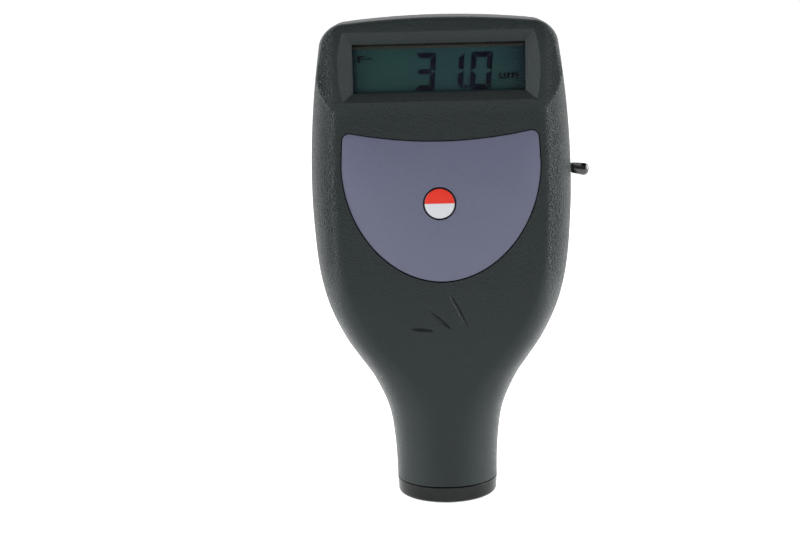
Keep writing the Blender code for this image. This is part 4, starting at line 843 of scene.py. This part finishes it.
display_teal = start_finish("display_teal", (0.013, 0.036, 0.038), 0.4, Specular_IOR_Level=0.03)
display_place = on_piece(display_teal)
display_split = split(display_teal, display_place)
green_share = spread(display_teal, mottle(display_teal, display_place, 0.014), 0.0, 1.0, 0.35, 0.65)
display_green = tint(display_teal, green_share, (0.0130, 0.0350, 0.0395), (0.0138, 0.0405, 0.0365))
right_share = spread(display_teal, display_split["X"], 0.0, 1.0, 0.0120, 0.0215)
left_share = spread(display_teal, display_split["X"], 1.0, 0.0, -0.0202, -0.0198)
join_shader(display_teal,
            Base_Color=tint(display_teal, work_out(display_teal, "MAXIMUM", left_share, right_share),
                            display_green, (0.0090, 0.0205, 0.0260)))
dress("display_glass", display_teal)

band_low = display_middle + 0.0046
# A dark strip along the display's upper edge: partly its own dark border, partly painted shadow cast by the
# frame's top edge.
border_and_shadow_strip = block("display_border_and_shadow", (-opening_half_width - band_overlap, print_front, band_low),
             (opening_half_width + band_overlap, print_back, glass_high.z))
band_border_and_shadow = start_finish("band_border_and_shadow", (0.020, 0.021, 0.018), 0.5, Specular_IOR_Level=0.1)
band_place = on_piece(band_border_and_shadow)
band_z = split(band_border_and_shadow, band_place)["Z"]
border_and_shadow_tone = tint(band_border_and_shadow, mottle(band_border_and_shadow, band_place, 0.002),
                  (0.018, 0.020, 0.018), (0.026, 0.027, 0.023))
# A near-black line at the strip's top is painted shade in the gap under the frame's edge.
gap_shade_line = spread(band_border_and_shadow, band_z, 0, 1, display_middle + 0.0052, display_middle + 0.0054)
join_shader(band_border_and_shadow, Base_Color=tint(band_border_and_shadow, gap_shade_line, border_and_shadow_tone, (0.003, 0.003, 0.003)))
settle(border_and_shadow_strip, band_border_and_shadow, "housing", "display")

window_low, window_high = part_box("display_window")
window_edge_round = 0.0001
window = block("cover_window", window_low, window_high)
soften(window, lambda place: place.y < window_low.y + near_face, window_edge_round, 2)
window_clear = start_finish("window_clear", (0.02, 0.022, 0.022), 0.02, Alpha=0.03)
window_place = on_piece(window_clear)
join_shader(window_clear, Roughness=spread(window_clear, mottle(window_clear, window_place, 0.01), 0.0, 0.02))
settle(window, window_clear, "housing", "window", "display_window")


# Nose collar
# A polished black ring is pressed into the neck and stands on the surface that is measured. Its foot
# is rounded, its wall keeps fine turning marks, and the probe runs in it.
def round_under(radius, height, width, steps=5):
    """Profile points over a rounded outer edge, from its foot up to its side."""
    return [(radius - width * (1 - math.sin(a)), height + width * (1 - math.cos(a)))
            for a in (math.pi / 2 * i / steps for i in range(steps + 1))]


collar_radius, collar_bore, collar_foot = neck_radius - 0.00002, 0.0056, 0.0009
spigot_radius, collar_flange_radius, collar_flange_height = 0.0083, 0.0095, 0.0013
flange_low = room_bottom + gap
flange_high = flange_low + collar_flange_height
collar_profile = [(collar_bore, 0)] + round_under(collar_radius - 0.0002, 0, collar_foot, 6)
collar_profile += [(collar_radius - 0.0001, collar_top * 0.6), (collar_radius, collar_top - 0.0003),
                   (collar_radius - 0.0003, collar_top), (spigot_radius, collar_top),
                   (spigot_radius, flange_low), (collar_flange_radius, flange_low),
                   (collar_flange_radius, flange_high), (collar_bore, flange_high)]
collar = turn("nose_collar", collar_profile, True, 96)
collar_gloss = start_finish("collar_gloss", (0.006, 0.009, 0.008), 0.2, Specular_IOR_Level=0.20)
collar_place = on_piece(collar_gloss)
turned_place = add_node(collar_gloss, "ShaderNodeVectorMath", {0: collar_place, 1: (0, 0, 1)},
                        operation="MULTIPLY").outputs[0]
join_shader(collar_gloss,
            Base_Color=tint(collar_gloss, mottle(collar_gloss, collar_place, 0.004),
                            (0.0035, 0.0055, 0.0050), (0.0055, 0.0075, 0.0070)),
            Roughness=spread(collar_gloss, mottle(collar_gloss, collar_place, 0.0008, 4), 0.16, 0.26),
            Normal=bump(collar_gloss, mottle(collar_gloss, turned_place, 0.0003, 2), 0.000012, 1.0))
settle(collar, collar_gloss, "housing", "collar", "probe_collar")


# Strap eye
# A glossy black moulded eye for a wrist strap stands out of the right side on a short neck. It droops
# a little, and its hole slants down from the front to the back.
lug_low, lug_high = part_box("lanyard_lug")
lug_root = half_width(lug_z)
lug_droop = math.radians(8.5)
lug_root_radius, lug_root_end, lug_bend = 0.0032, lug_low.x + 0.0012, 0.001
lug_profile = [(lug_root_radius, lug_low.x), (lug_root_radius, lug_root_end), (lug_neck_radius, lug_root_end),
               (lug_neck_radius, lug_root - 0.0003), (0.00118, lug_root + 0.0001),
               (0.00134, lug_root + 0.0004), (0.00146, lug_root + 0.0016)]
lug_profile += round_over(0.00158, lug_high.x - 0.00002, 0.0013, 8)
lug = turn("strap_eye", lug_profile, False, 48)
lug.data.transform(Matrix.Translation((0, 0, lug_z)) @ Matrix.Rotation(math.pi / 2, 4, "Y"))
eye_x = lug_high.x - 0.0016
cut(lug, bar("eye_hole", (eye_x, -0.004, lug_z + 0.005), (eye_x, 0.004, lug_z - 0.005), 0.0006, 32))
for point in lug.data.vertices:
    along = max(point.co.x - lug_root, 0)
    tipped = (point.co.z - lug_z) * math.sin(lug_droop) * min(along / lug_bend, 1)
    point.co.x -= along * (1 - math.cos(lug_droop)) - tipped
    point.co.z -= along * math.sin(lug_droop)
lug_black = start_finish("lug_black", (0.010, 0.010, 0.011), 0.2, Coat_Weight=0.3, Coat_Roughness=0.08)
surface(lug_black, (0.001, 2, (0.009, 0.009, 0.010), (0.014, 0.014, 0.015)), (0.0005, 2, 0.16, 0.28))
settle(lug, lug_black, "housing", "lug", "lanyard_lug")


# Case screws
# Four pan head screws with a cross recess hold the shells together from behind. They are zinc plated
# and sit deep in their holes.
def cross_screw(name):
    """A pan head screw along z with its seat at z = 0 and its head below, as it is turned and punched."""
    head, height = screw_head_radius, 0.0016
    profile = [(0.0003, -height), (head * 0.5, -height + 0.00003), (head * 0.8, -height + 0.0002),
               (head * 0.95, -height + 0.0006), (head, -0.0003), (head, 0), (screw_shank_radius, 0),
               (screw_shank_radius, 0.0126), (0.0004, 0.0133)]
    made = turn(name, profile, False, 40)
    punch_long, punch_thin = 0.0013, 0.00028
    for wide, tall in ((punch_long, punch_thin), (punch_thin, punch_long)):
        cut(made, block("punch", (-wide, -tall, -height - 0.0005), (wide, tall, -height + 0.0008)))
    return made


zinc = start_finish("zinc", (0.50, 0.50, 0.52), 0.35, 1.0)
zinc_place = on_piece(zinc)
zinc_plate = tint(zinc, mottle(zinc, zinc_place, 0.0008), (0.26, 0.26, 0.27), (0.38, 0.38, 0.40))
zinc_depth = split(zinc, zinc_place)["Y"]
# Below the top face of the head the plating is painted dark: painted shade down in the screw holes.
hole_shade_share = spread(zinc, zinc_depth, 0, 1, screw_seat + 0.0010, screw_seat + 0.0014)
join_shader(zinc,
            Base_Color=tint(zinc, hole_shade_share, (0.03, 0.03, 0.032), zinc_plate),
            Roughness=spread(zinc, mottle(zinc, zinc_place, 0.0004, 4), 0.28, 0.48))
first_screw = cross_screw("case_screw_turned")
for number, (x, z) in enumerate(both_sides(case_screws), 1):
    screw = bpy.data.objects.new(f"case_screw_turned_{number}", first_screw.data.copy())
    bpy.context.scene.collection.objects.link(screw)
    low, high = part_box(f"case_screw_{number}")
    screw.data.transform(Matrix.Translation(((low.x + high.x) / 2, screw_seat, (low.z + high.z) / 2))
                         @ Matrix.Rotation(math.pi / 2, 4, "X"))
    settle(screw, zinc, "housing", "screw", f"case_screw_{number}")
bpy.data.objects.remove(first_screw)


# Display holder and contact strip
# A black moulded frame holds the display against the board, and a strip of layered rubber between
# them carries the contacts.
holder_black = start_finish("holder_black", (0.020, 0.020, 0.021), 0.5, Specular_IOR_Level=0.3)
surface(holder_black, (0.004, 2, (0.017, 0.017, 0.018), (0.024, 0.024, 0.025)), (0.002, 2, 0.44, 0.56),
        (0.0003, 3, 0.00002, 0.6))
dress("display_holder", holder_black)

strip_rubber = start_finish("strip_rubber", (0.27, 0.27, 0.30), 0.6, Specular_IOR_Level=0.2)
strip_place = on_piece(strip_rubber)
strip_x = split(strip_rubber, strip_place)["X"]
strip_layers = work_out(strip_rubber, "SINE", work_out(strip_rubber, "MULTIPLY", strip_x, 25000))
join_shader(strip_rubber,
            Base_Color=tint(strip_rubber, spread(strip_rubber, strip_layers, 0, 1, -0.2, 0.2),
                            (0.05, 0.05, 0.055), (0.40, 0.40, 0.43)),
            Normal=bump(strip_rubber, mottle(strip_rubber, strip_place, 0.0002), 0.00001, 0.5))
dress("contact_strip", strip_rubber)


# Board and its parts
# A green lacquered circuit board carries two chips, a crystal in a steel can and a buzzer. Four
# plated screws hold it to the front shell.
board_green = start_finish("board_green", (0.020, 0.162, 0.059), 0.3, Specular_IOR_Level=0.4)
board_place = on_piece(board_green)
board_squares = add_node(board_green, "ShaderNodeTexVoronoi", {"Vector": board_place, "Scale": 1 / 0.0035},
                         distance="MANHATTAN", feature="DISTANCE_TO_EDGE")
board_tracks = spread(board_green, board_squares.outputs["Distance"], 1, 0, 0.04, 0.07)
join_shader(board_green,
            Base_Color=tint(board_green, board_tracks, (0.014, 0.130, 0.046), (0.030, 0.205, 0.078)),
            Roughness=spread(board_green, mottle(board_green, board_place, 0.003), 0.22, 0.36),
            Normal=bump(board_green, board_tracks, 0.00004, 0.6))
dress("main_board", board_green)

chip_black = start_finish("chip_black", (0.015, 0.015, 0.015), 0.55, Specular_IOR_Level=0.3)
surface(chip_black, (0.0006, 3, (0.012, 0.012, 0.012), (0.021, 0.021, 0.021)), (0.0015, 2, 0.48, 0.62),
        (0.00015, 3, 0.00001, 0.7))
for node in ("processor_chip", "memory_chip", "buzzer", "switch_body"):
    dress(node, chip_black)

can_steel = start_finish("can_steel", (0.60, 0.60, 0.60), 0.3, 1.0)
can_place = on_piece(can_steel)
can_drawn = add_node(can_steel, "ShaderNodeMapping", {"Vector": can_place, "Scale": (6, 1, 0.3)}).outputs[0]
surface(can_steel, (0.002, 2, (0.55, 0.55, 0.55), (0.66, 0.66, 0.66)), (0.0008, 4, 0.22, 0.40),
        place=can_drawn)
dress("crystal_can", can_steel)
for number in range(1, 5):
    dress(f"board_screw_{number}", zinc)

ivory_plastic = start_finish("ivory_plastic", (0.60, 0.60, 0.56), 0.45, Subsurface_Weight=0.05)
surface(ivory_plastic, (0.003, 2, (0.57, 0.57, 0.53), (0.63, 0.63, 0.59)), (0.001, 2, 0.40, 0.52),
        (0.0002, 3, 0.00001, 0.5))
dress("switch_stem", ivory_plastic)


# Cells
# Two plain round cells stand side by side behind the door, one on its head. A dark sleeve is shrunk
# over each steel can, and the bare ends carry the contacts.
cell_length, nipple_radius, nipple_height, sleeve_edge = 0.0445, 0.0019, 0.0008, 0.0007
bare_rim, end_dish = 0.0009, 0.0003
shoulder = cell_length - nipple_height
cell_profile = [(0.0036, 0), (0.0039, end_dish), (cell_radius - bare_rim, end_dish)]
cell_profile += round_under(cell_radius, 0, sleeve_edge)
cell_profile += round_over(cell_radius, shoulder, sleeve_edge)
cell_profile += [(cell_radius - bare_rim, shoulder - end_dish), (nipple_radius, shoulder - end_dish)]
cell_profile += round_over(nipple_radius, cell_length, 0.0003)

cell_jacket = start_finish("cell_jacket", (0.05, 0.06, 0.09), 0.3, Specular_IOR_Level=0.4)
cell_place = on_piece(cell_jacket)
cell_split = split(cell_jacket, cell_place)
cell_aside = work_out(cell_jacket, "ABSOLUTE", cell_split["X"])
cell_across = work_out(cell_jacket, "SUBTRACT", cell_aside, cell_x)
cell_deep = work_out(cell_jacket, "SUBTRACT", cell_split["Y"], cell_y)
cell_squares = [work_out(cell_jacket, "POWER", work_out(cell_jacket, "ABSOLUTE", offset), 2)
                for offset in (cell_across, cell_deep)]
cell_away = work_out(cell_jacket, "SQRT", work_out(cell_jacket, "ADD", *cell_squares))
cell_bare = spread(cell_jacket, cell_away, 1, 0, cell_radius - bare_rim, cell_radius - bare_rim + 0.0001)
jacket_dark = tint(cell_jacket, mottle(cell_jacket, cell_place, 0.006),
                   (0.044, 0.052, 0.080), (0.056, 0.066, 0.098))
join_shader(cell_jacket,
            Base_Color=tint(cell_jacket, cell_bare, jacket_dark, (0.56, 0.56, 0.57)),
            Metallic=cell_bare,
            Roughness=spread(cell_jacket, mottle(cell_jacket, cell_place, 0.004), 0.28, 0.34))
for side, way in (("left", 1), ("right", -1)):
    low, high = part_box(f"battery_cell_{side}")
    cell = turn(f"turned_cell_{side}", cell_profile)
    stood = Matrix.Translation((way * -cell_x, cell_y, low.z if way > 0 else high.z))
    cell.data.transform(stood if way > 0 else stood @ Matrix.Rotation(math.pi, 4, "X"))
    settle(cell, cell_jacket, "housing", "cell", f"battery_cell_{side}")


# Cell contacts
# A nickel plated plate stands at each end of each cell, and a coned spring is fixed to the plate at
# the flat end.
nickel = start_finish("nickel", (0.55, 0.54, 0.52), 0.22, 1.0)
surface(nickel, (0.002, 2, (0.52, 0.51, 0.49), (0.62, 0.61, 0.59)), (0.0005, 3, 0.16, 0.32),
        (0.0008, 2, 0.000008, 0.5))
plate_edge_round = 0.00012
for node in [f"battery_plate_{side}_{end}" for side in ("left", "right") for end in ("low", "high")]:
    low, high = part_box(node)
    plate = block(f"{node}_pressed", low, high)
    soften(plate, lambda place: True, plate_edge_round, 2)
    settle(plate, nickel, "housing", "spring", node)

spring_radius, spring_wire, spring_turns, turn_steps = 0.0028, 0.0003, 3, 32
for side, way in (("left", 1), ("right", -1)):
    low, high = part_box(f"battery_spring_{side}")
    first, last = (spring_radius, spring_radius * 0.7)[::way]
    bpy.ops.object.select_all(action="DESELECT")
    bpy.ops.curve.primitive_nurbs_path_add(location=(0, 0, 0))
    coil = bpy.context.object
    coil.data.splines.clear()
    line = coil.data.splines.new("POLY")
    steps = spring_turns * turn_steps
    line.points.add(steps)
    for i, point in enumerate(line.points):
        share, turn_angle = i / steps, 2 * math.pi * i / turn_steps
        away = first + (last - first) * share
        point.co = (way * -cell_x + away * math.cos(turn_angle), cell_y + away * math.sin(turn_angle),
                    low.z + spring_wire + (high.z - low.z - 2 * spring_wire) * share, 1)
    coil.data.bevel_depth = spring_wire
    coil.data.bevel_resolution = 4
    coil.data.use_fill_caps = True
    bpy.ops.object.convert(target="MESH")
    coil = name_and_place(f"coned_spring_{side}")
    close_up(coil)
    settle(coil, nickel, "housing", "spring", f"battery_spring_{side}")


# Probe
# A ground steel sleeve with a hard polished tip slides in a brass guide. A winding sits behind the
# tip, a clip stops the sleeve, and a spring under a moulded cap presses it out.
sleeve_radius, sleeve_wall, sleeve_low, sleeve_high = body_half_depth * 8 / 27, 0.0013, 0.0006, 0.0196
clip_low, clip_high = 0.0174 - gap, 0.0179 + gap
clip_groove = 0.0007
guide_wall, guide_low, guide_top, guide_chamfer = 0.001, 0.0015, 0.0139, 0.0002
flange_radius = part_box("probe_guide")[1].x
guide_radius = sleeve_radius + gap + guide_wall
sleeve_profile = [(sleeve_radius - sleeve_wall, sleeve_low)]
sleeve_profile += round_under(sleeve_radius, sleeve_low, 0.0003, 4)
sleeve_profile += [(sleeve_radius, clip_low), (sleeve_radius - clip_groove, clip_low),
                   (sleeve_radius - clip_groove, clip_high), (sleeve_radius, clip_high),
                   (sleeve_radius, sleeve_high), (sleeve_radius - sleeve_wall, sleeve_high)]
sleeve = turn("ground_sleeve", sleeve_profile, True, 80)
ground_steel = start_finish("ground_steel", (0.60, 0.60, 0.59), 0.25, 1.0)
ground_place = on_piece(ground_steel)
ground_marks = add_node(ground_steel, "ShaderNodeVectorMath", {0: ground_place, 1: (0.02, 0.02, 1)},
                        operation="MULTIPLY").outputs[0]
join_shader(ground_steel,
            Base_Color=tint(ground_steel, mottle(ground_steel, ground_place, 0.002),
                            (0.57, 0.57, 0.56), (0.64, 0.64, 0.63)),
            Roughness=spread(ground_steel, mottle(ground_steel, ground_marks, 0.0001, 3), 0.18, 0.34),
            Normal=bump(ground_steel, mottle(ground_steel, ground_marks, 0.00006), 0.000003, 0.6))
settle(sleeve, ground_steel, "probe", "sleeve", "probe_sleeve")

tip_radius, tip_land, tip_dome, tip_length = sleeve_radius - sleeve_wall - gap, 0.0008, 0.0014, 0.005
tip_profile = [(tip_radius, tip_length)]
tip_profile += [(tip_land + (tip_radius - tip_land) * math.sin(a), tip_dome * (1 - math.cos(a)))
                for a in (math.pi / 2 * i / 12 for i in range(12, -1, -1))]
tip = turn("polished_tip", tip_profile, False, 64)
tip_steel = start_finish("tip_steel", (0.50, 0.50, 0.52), 0.10, 1.0)
surface(tip_steel, (0.001, 2, (0.47, 0.47, 0.49), (0.54, 0.54, 0.56)), (0.0003, 3, 0.06, 0.16))
settle(tip, tip_steel, "probe", "tip", "probe_tip")

guide_bore, guide_shoulder = guide_radius - guide_wall, flange_high + gap
guide_step = guide_shoulder + 0.0011
guide = turn("brass_guide", [
    (guide_bore, guide_low + guide_chamfer), (guide_bore + guide_chamfer, guide_low),
    (guide_radius - guide_chamfer, guide_low), (guide_radius, guide_low + guide_chamfer),
    (guide_radius, guide_shoulder), (flange_radius, guide_shoulder), (flange_radius, guide_step),
    (guide_radius, guide_step), (guide_radius, guide_top), (guide_bore, guide_top)], True, 80)
turned_brass = start_finish("turned_brass", (0.58, 0.42, 0.16), 0.25, 1.0)
surface(turned_brass, (0.0015, 2, (0.54, 0.38, 0.14), (0.63, 0.46, 0.19)), (0.0006, 3, 0.18, 0.36))
settle(guide, turned_brass, "housing", "guide", "probe_guide")

copper_wire = start_finish("copper_wire", (0.55, 0.21, 0.10), 0.3, 0.8)
copper_place = on_piece(copper_wire)
copper_z = split(copper_wire, copper_place)["Z"]
copper_turns = work_out(copper_wire, "SINE", work_out(copper_wire, "MULTIPLY", copper_z, 42000))
join_shader(copper_wire,
            Base_Color=tint(copper_wire, spread(copper_wire, copper_turns, 0, 1, -1, 1),
                            (0.33, 0.11, 0.05), (0.62, 0.25, 0.12)),
            Normal=bump(copper_wire, copper_turns, 0.00003, 0.8))
dress("probe_coil", copper_wire)
dress("retaining_ring", nickel)
dress("probe_spring", nickel)
dress("spring_cap", ivory_plastic)
